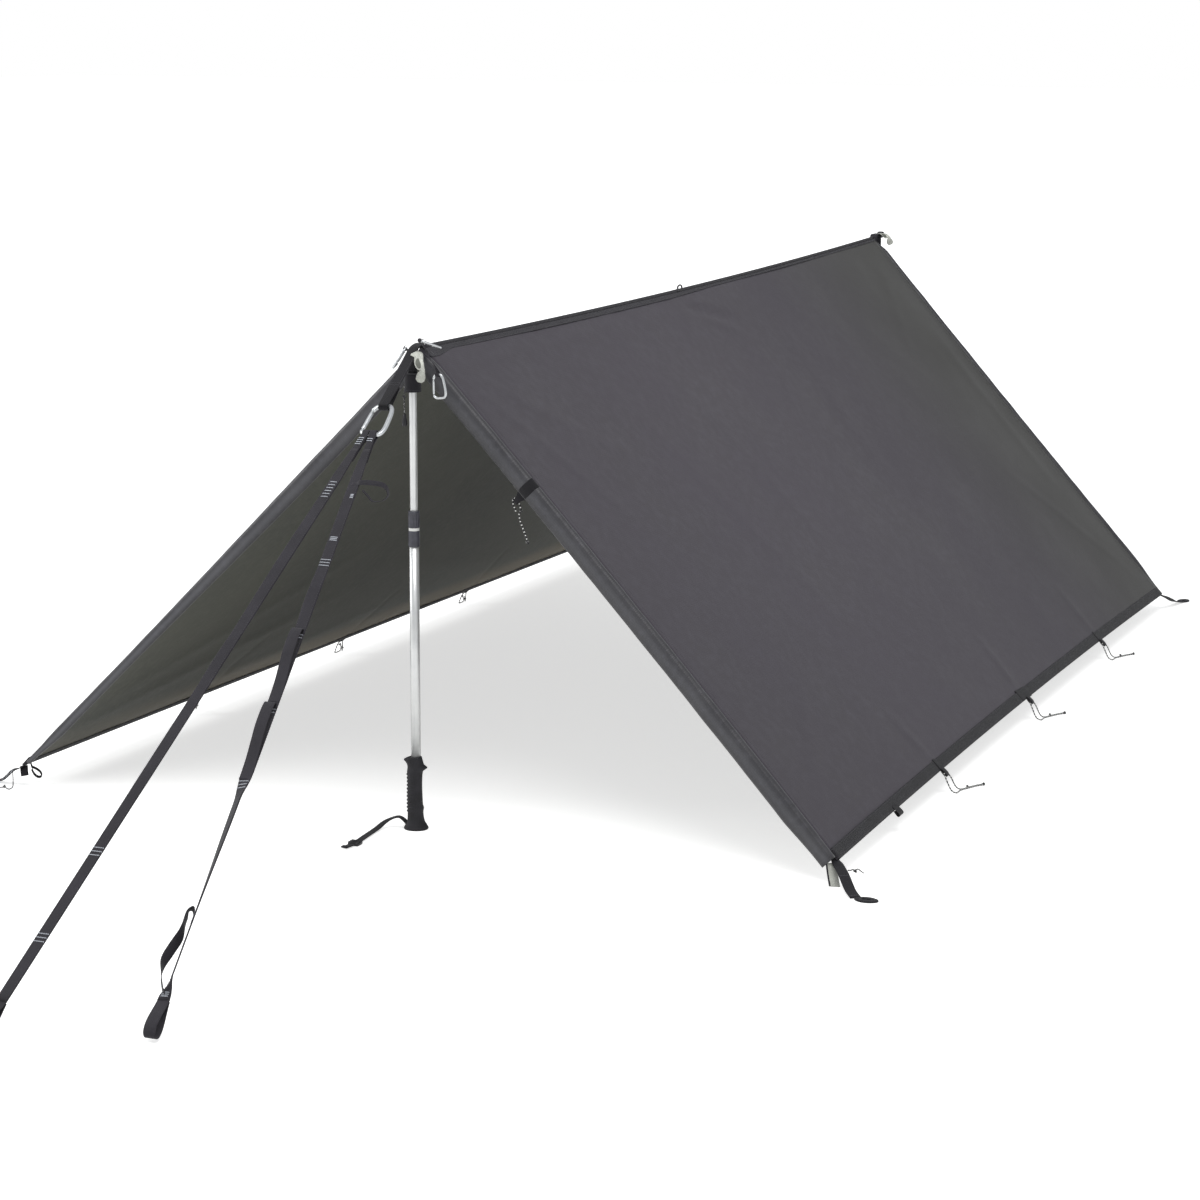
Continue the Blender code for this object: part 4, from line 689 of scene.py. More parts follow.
def clip_head(side):
    """The webbing on a ridge binding's front end that carries a small carabiner."""
    v = (RIDGE_GAP + 0.0150) / slope_length(side, 0)
    lift, down = outward(side, 0, v), (slope(side, 0, v + 0.01) - slope(side, 0, v)).normalized()
    base = slope(side, 0, v) + lift * 0.0020
    if side == "right":
        steps = vectors((0, -0.002, 0), (0.0030, -0.020, 0.0100), (0.0062, -0.042, 0.0235))
        anchor = [slope(side, 0.006, v) + lift * 0.0020, *[base + step for step in steps]]
        return bar_loop(anchor, RIDGE_CLIP, -1, [0.009], down)
    steps = ((-0.006, 0, 0.001), (0, 0, -0.002), (0.004, 0.003, -0.012), (0.002, 0.012, -0.019))
    anchor = [base + down * fall + lift * rise + Vector((0, y, 0)) for fall, rise, y in steps]
    return bar_loop(anchor, HEM_CLIP, 1, [0.030, 0.026, 0.010, 0.009], Vector((0, -1, 0)))


for side in SIGN:
    path, across, widths, rows = [], [], [], [[], []]
    for i in range(241):
        u = (i / 240) ** 1.25
        width = 0.024 - 0.0115 * ramp(u, 0.010, 0.042) - 0.0060 * ramp(u, 0.42, 0.58)
        v = (RIDGE_GAP + width / 2) / slope_length(side, u)
        normal = outward(side, u, v)
        path.append(slope(side, u, v) + normal * (0.0017 + 0.0005 * noise.noise(Vector((u * 40, 2, 1)))))
        across.append((slope(side, u, v + 0.01) - slope(side, u, v)).normalized())
        widths.append(width)
        for row, place in zip(rows, (-0.30, 0.34)):
            row.append((path[-1] + across[-1] * width * place + normal * 0.0007, normal))
    parts = [band(path, across, widths, 0.0013), clip_head(side)]
    add_piece(f"{side}_ridge_seam_binding", parts, webbing, f"{side}_slope", [f"{side}_ridge_binding"])
    add_stitches(f"{side}_ridge_stitches", rows, f"{side}_slope", (4.8, 3.4, 0.9, 0.7))


def grained(tree, scale, strength, distance=0.0004):
    """A bump of fine grain over the piece."""
    place = on_piece(tree)
    grain = node(tree, "TexNoise", {"Vector": place, "Scale": scale, "Detail": 2.0})
    return node(tree, "Bump", {"Strength": strength, "Distance": distance, "Height": grain})


# Nylon cast for the slider and toggle: black, a little glossy where the edges are round.
nylon, tree, shader = surface("moulded nylon, black", 0.38, IOR=1.53, Specular_IOR_Level=0.5)
dress(shader, Base_Color=mottled(tree, 60.0, "17161A", "201F24")[0], Normal=grained(tree, 1500.0, 0.12))


def rod(points, radius, sides=12, closed=False, facing=None):
    """A round bar or cord along a path; radius may be one value or one a point."""
    rings, side = [], facing
    for i, (point, along) in enumerate(zip(points, tangents(points, closed))):
        side = side or along.orthogonal().normalized()
        side = (side - along * side.dot(along)).normalized()
        other, reach = along.cross(side), radius[i] if isinstance(radius, list) else radius
        rings.append([point + (side * math.cos(t) + other * math.sin(t)) * reach for t in turns(sides)])
        side = side if facing is None else facing
    return shape(rings, closed)


path = [ridge_point(-0.0002 + 1.0004 * i / 120) + ACROSS * 0.0004 * noise.noise(Vector((i * 0.4, 1, 5)))
        for i in range(121)]
place = ridge_point(0.48) + UP * 0.008
loop = [place + Vector((0, 0.014 * math.cos(t), 0.0062 * math.sin(t))) for t in turns(40)]
keeper = [ridge_point(0.4755) + UP * z for z in (-0.004, 0.0065)]
slider = joined([rod(loop, 0.0020, 12, True, ACROSS), band(keeper, Vector((0, 1, 0)), 0.010, 0.0042)])
parts = [band(path, UP, 0.012, 0.002), slider]
add_piece("ridge_band", parts, [webbing, nylon], "ridge", ["ridge_webbing"])

# The front-edge tie-out: narrow polyester webbing wrapped round the rolled hem and sewn through it.
# Its two ends meet under the hem in a small loop, which holds a thin cord.
centre, wide, deep = hem_section("right", "front", 0.275)
edge_across = (hem_section("right", "front", 0.295)[0] - centre).normalized()
stand = 1 + 0.00045 / 0.012
path = [centre + stand * (wide * math.cos(t) + deep * math.sin(t)) for t in map(math.radians, range(-100, 76, 25))]
fall, ahead = deep.normalized(), wide.normalized()
path += [path[-1] + fall * 0.010, path[-1] + fall * 0.022 - ahead * 0.002]
path += [path[-1] - ahead * 0.006, path[-1] - fall * 0.012 - ahead * 0.006]
path += [path[-1] - fall * 0.012]
widths = [0.024] * 8 + [0.014] + [0.011] * 4
parts = [band(smoothed(path, 4), edge_across, smoothed(widths, 4), 0.0012)]
add_piece("front_edge_tab", parts, dark_webbing, "right_slope", ())
edge_eye = centre + deep * 0.966 + fall * 0.0175 - ahead * 0.002

# The corners: 23 mm webbing sewn under each corner, run down to the ground and folded into a flat eye for a peg.
# Bar tacks hold the folds; the reflective tab on the near corner hangs to the ground.
# Glass beads on cloth give the tape a pale, faintly green grey and a soft metallic sheen; its bright specks are
# painted glints of the beads.
reflective, tree, shader = surface("reflective tape, glass-bead coated", 0.50, 0.25, IOR=1.5, Sheen_Weight=0.2)
colour, _ = mottled(tree, 60.0, "BCBDB4", "D3D5CB", 4.0)
# painted glints: fine bright specks where the beads catch the light
colour, _ = mottled(tree, 420.0, colour, "F0F2EA", 2.0, (0.5, 0.8), 3.0)
# the cloth under the beads is drawn at 1.2 mm, about three times coarser than real
threads, bump = weave(tree, node(tree, "UVMap", uv_map="weave"), 0.0012, 0.35)
dress(shader, Base_Color=shaded(tree, colour, threads, 0.80, 1.04), Normal=bump)

CORNER_ROUTES = {
    ("right", "front"): vectors((0.953, -1.610, 0.0290), (0.978, -1.645, 0.0105), (0.997, -1.668, 0.0026)),
    ("right", "rear"): vectors((0.917, 1.462, 0.0270), (0.926, 1.505, 0.0105), (0.934, 1.550, 0.0028)),
    ("left", "front"): vectors((-0.978, -1.566, 0.0290), (-1.002, -1.562, 0.0115), (-1.026, -1.560, 0.0026)),
    ("left", "rear"): vectors((-0.935, 1.478, 0.0270), (-0.946, 1.520, 0.0105), (-0.956, 1.562, 0.0028)),
}
CORNER_EYES = {
    ("right", "front"): vectors((1.0200, -1.6720, 0.0019), (1, -0.05, 0)),
    ("right", "rear"): vectors((0.9380, 1.5700, 0.0019), (0.18, 1, 0)),
    ("left", "front"): vectors((-1.0500, -1.5590, 0.0019), (-1, 0.04, 0)),
    ("left", "rear"): vectors((-0.9600, 1.5820, 0.0019), (-0.20, 1, 0)),
}


def corner_frame(side, end):
    """A corner, its outward diagonal in the cloth's plane, and the cloth's weather normal."""
    _, down, normal = edge_frame(side, 0 if end == "front" else 1)
    away = Vector((0, -1 if end == "front" else 1, 0))
    away = (away - normal * away.dot(normal)).normalized()
    return corner(side, end), (down + away * 0.9).normalized(), normal


def corner_path(side, end):
    """The corner web's centre line, the directions of its width, and its upper side's normals."""
    place, diagonal, normal = corner_frame(side, end)
    under = normal * -0.0021
    start = [place - diagonal * 0.014 + under, place + diagonal * 0.003 + under]
    route = smoothed([*start, *CORNER_ROUTES[side, end]], 8)
    tips, tops = [], []
    for i, along in enumerate(tangents(route)):
        share = i / (len(route) - 1)
        tip = normal.lerp(UP, ramp(share, 0.05, 0.35)).cross(along).normalized()
        if (side, end) == ("left", "front"):
            # halfway down this web rolls over, so that its near edge hangs lower
            rolled = math.radians(35) * math.sin(math.pi * min(1, max(0, (share - 0.38) / 0.48)))
            tip = tip * math.cos(rolled) - along.cross(tip) * math.sin(rolled)
        tips.append(tip)
        tops.append(along.cross(tip).normalized())
    return route, tips, tops


def flat_eye(centre, heading, long=0.0170, broad=0.0092, width=0.0150, thick=0.0030):
    """A closed oval of webbing lying flat."""
    side, rings = UP.cross(heading).normalized(), []
    for t in turns(36):
        spoke = heading * long * math.cos(t) + side * broad * math.sin(t)
        out, point = spoke.normalized(), centre + spoke
        rings.append([point + out * width / 2 * a + UP * thick / 2 * b for a, b in SECTION])
    return shape(rings, True)


def bar_tack(point, along, across, facing, width):
    """A zigzag of thread across webbing, as a seam for add_stitches."""
    return [(point + across * width * (k / 12 - 0.5) + along * 0.0007 * (-1) ** k, facing) for k in range(13)]


def place_on(route, distance):
    """The point that far along a route."""
    for p, q in zip(route, route[1:]):
        step = (q - p).length
        if distance <= step:
            return p.lerp(q, distance / step)
        distance -= step
    return route[-1].copy()


def nearest(route, spot):
    """The number of the route's point that lies nearest to a spot."""
    return min(range(len(route)), key=lambda i: (route[i] - spot).length)


def hanging_loop():
    """The narrow loop and the square tab under the left front corner's web."""
    _, diagonal, normal = corner_frame("left", "front")
    route, _, _ = corner_path("left", "front")
    aim, lean = vectors((0.52, 0.36, -0.78), (0.72, 0.30, 0.62))
    lean = (lean - aim * lean.dot(aim)).normalized()
    turn = route[0] - diagonal * 0.004 - normal * 0.0014
    neck = turn + Vector((0.0010, 0.0060, -0.0130))
    hung = aim.cross(lean)
    flat = toward(normal.cross(diagonal), hung)
    path = [route[0] + diagonal * 0.006 - normal * 0.0006, turn, turn + Vector((0.0002, 0.0030, -0.0050)), neck]
    across = [flat, flat, flat.lerp(hung, 0.5), hung]
    for k in range(1, 13):
        t = 2 * math.pi * k / 14 + 0.12
        far = (1 - math.cos(t)) / 2
        out = 0.0062 * 1.3 * math.sin(t) * math.sqrt(far) - 0.0019 * ramp(k, 7, 12)
        path.append(neck + aim * 0.029 * far + lean * out)
        across.append(hung)
    root = place_on(route, 0.012) - normal * 0.0004
    drop = smoothed([root, root + Vector((0.004, -0.006, -0.009)), root + Vector((0.008, -0.010, -0.020))], 4)
    loop = band(smoothed(path, 3), smoothed(across, 3), 0.010, 0.0026)
    return [loop, band(drop, Vector((0.92, 0.39, 0)), 0.017, 0.0014)]


for (side, end), (eye, heading) in CORNER_EYES.items():
    name, left_front = f"{side}_{end}", (side, end) == ("left", "front")
    route, tips, tops = corner_path(side, end)
    heading = heading.normalized()
    parts = [band(route, tips, 0.023, 0.0018), flat_eye(eye, heading)]
    if left_front:
        parts += hanging_loop()
    add_piece(f"{name}_corner_strap", parts, dark_webbing, f"{side}_slope", [f"{name}_corner_web"])
    tacks, last = [], len(route) - 1
    for i in ([last // 2, last // 2 + 4, last // 2 + 8] if side == "left" else [last // 2 + 1, last - 2]):
        tacks.append(bar_tack(route[i] + tops[i] * 0.0010, tangents(route)[i], tips[i], tops[i], 0.020))
    tacks.append(bar_tack(eye - heading * 0.012 + UP * 0.0016, heading, UP.cross(heading), UP, 0.016))
    thread = tack_thread if left_front else seam_thread
    add_stitches(f"{name}_bar_tacks", tacks, f"{side}_slope", (0.7, 1.6, 1.2, 0.9), thread)

route, tips, _ = corner_path("right", "front")
near = nearest(route, place_on(route, 0.016))
below = toward(tangents(route)[near].cross(tips[near]).normalized(), -UP)
tip = toward(tips[near], -ACROSS)
top = route[near] + below * 0.0023 + tip * 0.0115
drop = top.z - 0.0020
path = smoothed([top, top + Vector((0.006, -0.008, -drop * 0.5)), top + Vector((0.016, -0.024, -drop))], 8)
parts = [band(path, tip, 0.024, 0.0014), band([p + tip * 0.0102 for p in path], tip, 0.0035, 0.0019)]
add_piece("right_corner_reflector", parts, [reflective, webbing], "right_slope", ["right_corner_tab"])

# The small cords: 2.4 mm braided polyester, black with white flecks, tied off with single knots.
# The cords of the tie-outs and of the front edge are drawn 3 mm thick, because their dots make them read thicker.
CORD, TIE_CORD = 0.0012, 0.0015
braid, tree, shader = surface("braided polyester cord, black and white", 0.62, IOR=1.5, Sheen_Weight=0.15)
# the strands are drawn 0.9 mm wide, somewhat coarser than real
turned_uv = node(tree, "Mapping", {"Vector": node(tree, "UVMap", uv_map="weave"),
                                   "Rotation": (0, 0, math.radians(45)), "Scale": (1100.0, 1100.0, 1.0)})
strands = node(tree, "TexChecker", {"Vector": turned_uv, "Scale": 1.0}).outputs["Fac"]
flecks = node(tree, "TexNoise", {"Vector": on_piece(tree), "Scale": 420.0, "Detail": 1.0})
chosen = node(tree, "MapRange", {"Value": flecks, "From Min": 0.53, "From Max": 0.59})
white_part = node(tree, "Math", {0: chosen, 1: strands}, operation="MULTIPLY")
colour = node(tree, "Mix", {"Factor": white_part, 6: "1E1C21", 7: "DCDCD8"}, data_type="RGBA")
bump = node(tree, "Bump", {"Strength": 0.6, "Distance": 0.0004, "Height": strands})
dress(shader, Base_Color=colour, Normal=bump)

# The tie-out cords have a white marker yarn that shows as a bold dot every 7.5 mm.
dotted, tree, shader = surface("braided polyester cord, black with white dots", 0.62, IOR=1.5, Sheen_Weight=0.15)
along_it = node(tree, "SeparateXYZ", {"Vector": node(tree, "UVMap", uv_map="weave")}).outputs["Y"]
since_dot = node(tree, "Math", {0: along_it, 1: 0.0075}, operation="MODULO")
dot = node(tree, "Math", {0: since_dot, 1: 0.0022}, operation="LESS_THAN")
dress(shader, Base_Color=node(tree, "Mix", {"Factor": dot, 6: "19171B", 7: "F0F0EC"}, data_type="RGBA"))


def knot(name, centre, along, body):
    """A single overhand knot pulled tight: a three-lobed curl of the same cord."""
    turn, points = along.to_track_quat("Z", "X"), []
    for t in turns(60):
        x, y = math.sin(t) + 1.6 * math.sin(2 * t), math.cos(t) - 1.6 * math.cos(2 * t)
        points.append(centre + turn @ Vector((x, y, -1.1 * math.sin(3 * t))) * 0.0031 / 2.6)
    return add_piece(name, [rod(points, CORD, 10, True)], braid, body, ())


def length_of(path):
    return sum((q - p).length for p, q in zip(path, path[1:]))


def add_cord(name, spots, body, node_name, knots, times=12, radius=CORD, finish=braid):
    """A braided cord along the given points, with a knot at each chosen share of its length."""
    path = smoothed(vectors(*spots), times)
    whole = length_of(path)
    item = add_piece(name, [rod(path, radius)], finish, body, [node_name])
    for k, share in enumerate(knots):
        at = whole * share
        place = place_on(path, at)
        along = (place_on(path, min(whole, at + 0.004)) - place_on(path, max(0, at - 0.004))).normalized()
        knot(f"{name}_knot_{k + 1}", place + UP * max(0, 0.0042 - place.z), along, body)


# Each row is a place outward of the tab's eye and along the edge, in metres, and a share of the eye's height.
TIE_ROUTE = ((0.0560, 0.1080, 0.0), (0.0430, 0.0860, 0.0), (0.0320, 0.0620, 0.0), (0.0225, 0.0430, 0.0),
             (0.0150, 0.0300, 0.20), (0.0070, 0.0170, 0.74), (0.0, 0.0080, 0.99), (0.0, 0.0, 1.0),
             (0.0, -0.0080, 0.99), (0.0075, -0.0125, 0.66), (0.0165, -0.0080, 0.20), (0.0240, 0.0060, 0.02),
             (0.0258, 0.0360, 0.0), (0.0358, 0.0600, 0.0), (0.0470, 0.0840, 0.0), (0.0610, 0.1040, 0.0))

for side, sign in SIGN.items():
    for index, u in enumerate((0.25, 0.5, 0.75), 1):
        lip, down, normal = edge_frame(side, u)
        eye = lip + down * 0.0124 + normal * 0.0022
        spots = [(eye.x + sign * x, eye.y + y, 0.0024 + (eye.z - 0.0024) * z) for x, y, z in TIE_ROUTE]
        add_cord(f"{side}_tie_out_cord_{index}", spots, f"{side}_slope", f"{side}_tie_cord_{index}", (0.16, 0.985),
                 radius=TIE_CORD, finish=dotted)

spots = []
for i, (out, forward, fall) in enumerate((
        (-0.0040, 0, -0.025), (-0.0125, 0, -0.016), (-0.0122, 0, -0.005), (-0.0050, 0, 0), (0.0050, 0, 0),
        (0.0100, 0, -0.003), (0.0110, 0, -0.014), (0.0050, -0.001, -0.027), (0.0080, -0.003, -0.040),
        (0.0150, -0.004, -0.056), (0.0220, -0.005, -0.072), (0.0270, -0.006, -0.086))):
    spots.append(edge_eye + (edge_across * out if i < 7 else ACROSS * out) + Vector((0, forward, fall)))
add_cord("front_edge_tie_cord", spots, "right_slope", "front_edge_cord", (0.46, 0.97), radius=TIE_CORD,
         finish=dotted)

near = nearest(route, place_on(route, 0.048))
start = route[near] + toward(tips[near], ACROSS) * 0.0130
offsets = vectors((0, 0, 0), (0.006, -0.001, 0.001), (0.012, -0.004, 0.004), (0.017, -0.001, 0.001),
                  (0.013, 0.003, 0.000), (0.018, 0.006, 0.003), (0.024, 0.004, 0.001), (0.031, 0.003, -0.003))
add_cord("right_corner_tie", [start + offset for offset in offsets], "right_slope", "right_corner_cord", (0.50,))
route, tips, _ = corner_path("left", "front")
near = nearest(route, place_on(route, 0.036))
start = route[near] + toward(tips[near], Vector((0, -1, 0))) * 0.0130
spots = (start, (-0.957, -1.594, 0.0150), (-0.9520, -1.604, 0.0060), (-0.9560, -1.611, 0.0025),
         (-0.9660, -1.606, 0.0022), (-0.9750, -1.600, 0.0022), (-0.9880, -1.606, 0.0020))
add_cord("left_corner_tie", spots, "left_slope", "left_corner_cord", (0.84,))

# The trekking poles stand grip down: a 20 mm lower tube, a 16 mm upper tube that slides in it, and a twist lock.
# The tubes are anodised aluminium, almost white; the collars are moulded, and a pale ring parts them.
aluminium, tree, shader = surface("anodised aluminium tube, satin", 0.34, 0.55, IOR=1.5, Coat_Weight=0.2,
                                  Coat_Roughness=0.25)
# fine lines run along the tube where it was drawn; here they are about 1 mm wide, coarser than real
drawn = node(tree, "Mapping", {"Vector": on_piece(tree), "Scale": (900.0, 900.0, 6.0)})
lines = node(tree, "TexNoise", {"Vector": drawn, "Scale": 1.0, "Detail": 3.0})
dress(shader, Base_Color=shaded(tree, mottled(tree, 25.0, "DEDFDF", "E8E9E8", 3.0)[0], lines, 0.93, 1.05),
      Roughness=node(tree, "MapRange", {"Value": lines, "To Min": 0.27, "To Max": 0.42}),
      Normal=node(tree, "Bump", {"Strength": 0.10, "Distance": 0.0003, "Height": lines}))

# Glass-filled nylon for the collars: dark blue-grey and finely grained, so its highlight is soft.
collar_nylon, tree, shader = surface("glass-filled nylon, dark grey", 0.46, IOR=1.53)
dress(shader, Base_Color=mottled(tree, 90.0, "3A3A42", "46464F")[0], Normal=grained(tree, 1800.0, 0.15))
# Acetal is left unpainted for the ring between them: white, with a soft gloss.
acetal = surface("acetal ring, white", 0.35, IOR=1.48, Base_Color="E9E9E6")[0]

# Moulded EVA and rubber for the grip: near black, matt, with a fine pitted skin.
grip_rubber, tree, shader = surface("moulded rubber grip, black", 0.66, IOR=1.5, Specular_IOR_Level=0.4,
                                    Sheen_Weight=0.05)
pits = node(tree, "TexVoronoi", {"Vector": on_piece(tree), "Scale": 900.0})
dress(shader, Base_Color=mottled(tree, 40.0, "17161A", "232227", 4.0)[0],
      Normal=node(tree, "Bump", {"Strength": 0.30, "Distance": 0.0005, "Height": pits}))
# The wrist strap's webbing is softer and duller than the tarp's.
strap_webbing = webbing_of("polyester webbing, wrist strap", "17161A", "222126", 0.8)


def softened(profile, reach=0.0006):
    """A profile of (radius, height) with each corner cut back a little on both sides."""
    points = vectors(*profile)
    soft = [points[0]]
    for a, b, c in zip(points, points[1:], points[2:]):
        for other in (a, c):
            step = other - b
            soft.append(b + step.normalized() * min(reach, step.length * 0.35))
            if other is a:
                soft.append(b + ((a - b).normalized() + (c - b).normalized()) * reach * 0.22)
    return [*soft, points[-1]]


def circle(place, radius, height, sides):
    """Points on a level circle about the vertical line through place."""
    return [Vector((place.x + radius * math.cos(t), place.y + radius * math.sin(t), height)) for t in turns(sides)]


def lathe(profile, place, sides=64, closed=False):
    """A (radius, height) profile turned about the vertical line through place."""
    return shape([circle(place, radius, height, sides) for radius, height in profile], closed)


def grip_shape(foot, facing):
    """The upturned grip: flared cap on the ground, eleven finger ribs, and two horns at the top."""
    # height, and the reach to the left, to the right and to the front and back
    table = ((0.000, 0.0235, 0.0220, 0.0185), (0.0012, 0.0255, 0.0240, 0.0200), (0.004, 0.0265, 0.0250, 0.0205),
             (0.009, 0.0240, 0.0225, 0.0190), (0.018, 0.0195, 0.0175, 0.0165), (0.030, 0.0185, 0.0150, 0.0155),
             (0.040, 0.0187, 0.0148, 0.0155), (0.046, 0.0190, 0.0160, 0.0155), (0.052, 0.0190, 0.0142, 0.0152),
             (0.060, 0.0190, 0.0135, 0.0150), (0.080, 0.0188, 0.0127, 0.0149), (0.100, 0.0185, 0.0125, 0.0148),
             (0.122, 0.0190, 0.0140, 0.0150), (0.128, 0.0184, 0.0190, 0.0150), (0.132, 0.0180, 0.0235, 0.0150),
             (0.138, 0.0185, 0.0170, 0.0145), (0.144, 0.0215, 0.0150, 0.0140), (0.149, 0.0255, 0.0135, 0.0135),
             (0.1525, 0.0215, 0.0128, 0.0128), (0.155, 0.0150, 0.0120, 0.0120))
    rings, turn_to = [], Matrix.Rotation(facing, 4, "Z")
    for height, left, right, depth in smoothed(vectors(*table), 12):
        ribbed = ramp(height, 0.034, 0.040) * (1 - ramp(height, 0.119, 0.124))
        rib = (0.5 + 0.5 * math.cos(2 * math.pi * ((height - 0.036) / 0.00782 - 0.5))) ** 1.6 * 0.0021 - 0.0005
        parted = ramp(height, 0.02, 0.035) * (1 - ramp(height, 0.115, 0.13))
        ring = []
        for t in turns(72):
            x, y = math.cos(t), math.sin(t)
            reach = right if x > 0 else left
            finger = ribbed * rib * ramp(-x, -0.15, 0.55)
            groove = -0.0007 * math.exp(-((abs(t - math.pi) - 1.75) / 0.07) ** 2) * parted
            spot = Vector((x * (reach + finger + groove), y * (depth + finger * 0.6 + groove), 0))
            ring.append(foot + turn_to @ spot + UP * max(height, 0))
        rings.append(ring)
    for radius, height in ((0.0112, 0.1548), (0.0105, 0.1520)):
        rings.append([foot + turn_to @ point for point in circle(Vector(), radius, height, 72)])
    return shape(rings)


def lock_shape(foot, low=0.6365):
    """The twist lock: twelve shallow flutes between two plain rims."""
    rings = []
    for height, scale, deep in ((0, 0.95, 0), (0.0006, 0.985, 0), (0.003, 1, 0), (0.0042, 1, 1), (0.012, 1, 1),
                                (0.022, 1, 1), (0.0288, 1, 1), (0.0300, 1, 0), (0.0328, 0.985, 0),
                                (0.0340, 0.93, 0), (0.0340, 0.78, 0)):
        ring = []
        for t in turns(96):
            radius = 0.0118 * scale - 0.0007 * deep * (0.5 + 0.5 * math.cos(12 * t)) ** 2
            ring.append(foot + Vector((radius * math.cos(t), radius * math.sin(t), low + height)))
        rings.append(ring)
    return shape(rings + [circle(foot, 0.0082, low + height, 96) for height in (0.0340, 0)], True)


# Each end's name, its sign along Y and the height of its peak; the poles stand beyond the ridge's ends.
ENDS, POLE_OUT = (("front", -1, 1.0), ("rear", 1, 1.022)), 1.546
for end, sign, height in ENDS:
    foot, base, tip = Vector((0, sign * POLE_OUT, 0)), f"{end}_pole_base", height - 0.0528
    thin = [(0.0020, tip), (0.0040, tip - 0.003), (0.0046, tip - 0.016), (0.0068, tip - 0.024),
            (0.0078, tip - 0.027), (0.0078, 0.30)]
    parts = [lathe(softened(thin), foot)]
    add_piece(f"{end}_upper_tube", parts, aluminium, "ridge", [f"{end}_upper_shaft"])
    thick = [(0.0100, 0.6265), (0.0100, 0.1153), (0.003, 0.1153), (0.003, 0.17), (0.0082, 0.17), (0.0082, 0.6265)]
    parts = [lathe(thick, foot, 64, True)]
    add_piece(f"{end}_lower_tube", parts, aluminium, base, [f"{end}_lower_shaft"])
    sleeve = [(0.0103, 0.597), (0.0112, 0.597), (0.0118, 0.5985), (0.0118, 0.6283), (0.0112, 0.6300),
              (0.0103, 0.6300)]
    ring = [(0.0104, 0.6301), (0.0109, 0.6301), (0.0110, 0.6304), (0.0110, 0.6359), (0.0109, 0.6362),
            (0.0083, 0.6362), (0.0083, 0.6301)]
    parts = [lathe(softened(sleeve, 0.0004), foot, 64, True), lathe(ring, foot, 64, True)]
    add_piece(f"{end}_sleeve", parts, [collar_nylon, acetal], base, [f"{end}_lower_collar"])
    lock = [lock_shape(foot)]
    add_piece(f"{end}_twist_lock", lock, collar_nylon, f"{end}_pole_lock", [f"{end}_lock_collar"])
    facing = math.radians(22) + (0 if end == "front" else math.pi)
    add_piece(f"{end}_moulded_grip", [grip_shape(foot, facing)], grip_rubber, base, [f"{end}_grip"])

    # the wrist strap leaves the grip's foot, lies on the ground and doubles back beyond its ladder buckle
    spots = vectors((-0.0185, -0.004, 0.012), (-0.0211, -0.004, 0.014), (-0.038, -0.006, 0.024),
                    (-0.060, -0.018, 0.016), (-0.069, -0.048, 0.0052), (-0.066, -0.100, 0.0040),
                    (-0.061, -0.160, 0.0040), (-0.066, -0.200, 0.0040))
    spots = [foot + Vector((-p.x * sign, -p.y * sign, p.z)) for p in spots]
    route = smoothed(spots, 9)
    across = [UP.cross(along).normalized() for along in tangents(route)]
    near = nearest(route, spots[6])
    centre, along = route[near].copy(), tangents(route)[near]
    along.z = 0
    along.normalize()
    wide = UP.cross(along)
    over = [p + UP * 0.0019 for p in route[near + 7:]]
    strap = [band(route, across, 0.015, 0.0022), band(over, wide, 0.0148, 0.0017)]
    add_piece(f"{end}_wrist_webbing", strap, strap_webbing, base, [f"{end}_wrist_strap"])
    seams = [[(route[i] + UP * 0.0012 + across[i] * place, UP) for i in range(18, near - 4)]
             for place in (-0.0058, 0.0058)]
    add_stitches(f"{end}_wrist_stitches", seams, base, (4.0, 2.8, 0.7, 0.6))
    case = [centre + along * d for d in (-0.0122, -0.0115, -0.0095, 0.0095, 0.0115, 0.0122)]
    parts = [band(case, wide, [0.0185, 0.0215, 0.0245, 0.0245, 0.0215, 0.0185],
                  [0.0052, 0.0066, 0.0075, 0.0075, 0.0066, 0.0052])]
    for d, h in ((-0.0070, 0.0036), (0.0002, 0.0038), (0.0072, 0.0036)):
        bar = [centre + along * d + UP * h + wide * w for w in (-0.0118, -0.0108, 0.0108, 0.0118)]
        parts.append(rod(bar, [0.0008, 0.0015, 0.0015, 0.0008]))
    add_piece(f"{end}_ladder_buckle", parts, nylon, base, [f"{end}_strap_buckle"])

# The peaks: doubled webbing runs over each pole tip and takes the cup that the tip stands in.
# At the front it goes down round the big carabiner and is sewn back on itself.
STRAP_START = FRONT_END + Vector((0, -0.030, 0.005))
HEADING = (Vector((0.0445, -2.9755, 0.0100)) - STRAP_START).normalized()
STRAP_UP = (UP - HEADING * UP.dot(HEADING)).normalized()
MAIN_TOP, MAIN_BAR = 0.178, 0.0046


def strap_line(distance, lift=0.0):
    """A point on or over the line from the front peak to the ground between the two pegs."""
    return STRAP_START + HEADING * distance + STRAP_UP * lift


path = vectors((0, -1.5017, 0.976), (0, -1.5017, 0.994), (0, -1.5037, 1.003), (0, -1.5107, 1.010))
path += [strap_line(0.008, 0.0035), strap_line(0.05, 0.003), strap_line(0.12, 0.0045)]
turn = loop_around(strap_line(MAIN_TOP + MAIN_BAR) + HEADING * 0.0014, HEADING, STRAP_UP, MAIN_BAR + 0.0016, 0.0016)
path += [*turn, turn[-1] - HEADING * 0.012 + STRAP_UP * 0.001, turn[-1] - HEADING * 0.060 + STRAP_UP * 0.0052]
widths = [0.012, 0.012, 0.012, 0.016, 0.022, 0.025, 0.025] + [0.022] * 9
parts = [band(smoothed(path, 4), ACROSS, smoothed(widths, 4), 0.0016)]
add_piece("front_peak_strap", parts, dark_webbing, "ridge", ["front_peak_web"])
rows = [strap_line(d / 1000, 0.0040 if d < 90 else 0.0052) for d in range(12, 166, 4)]
seams = [[(point + ACROSS * place, STRAP_UP) for point in rows] for place in (-0.0095, 0.0095)]
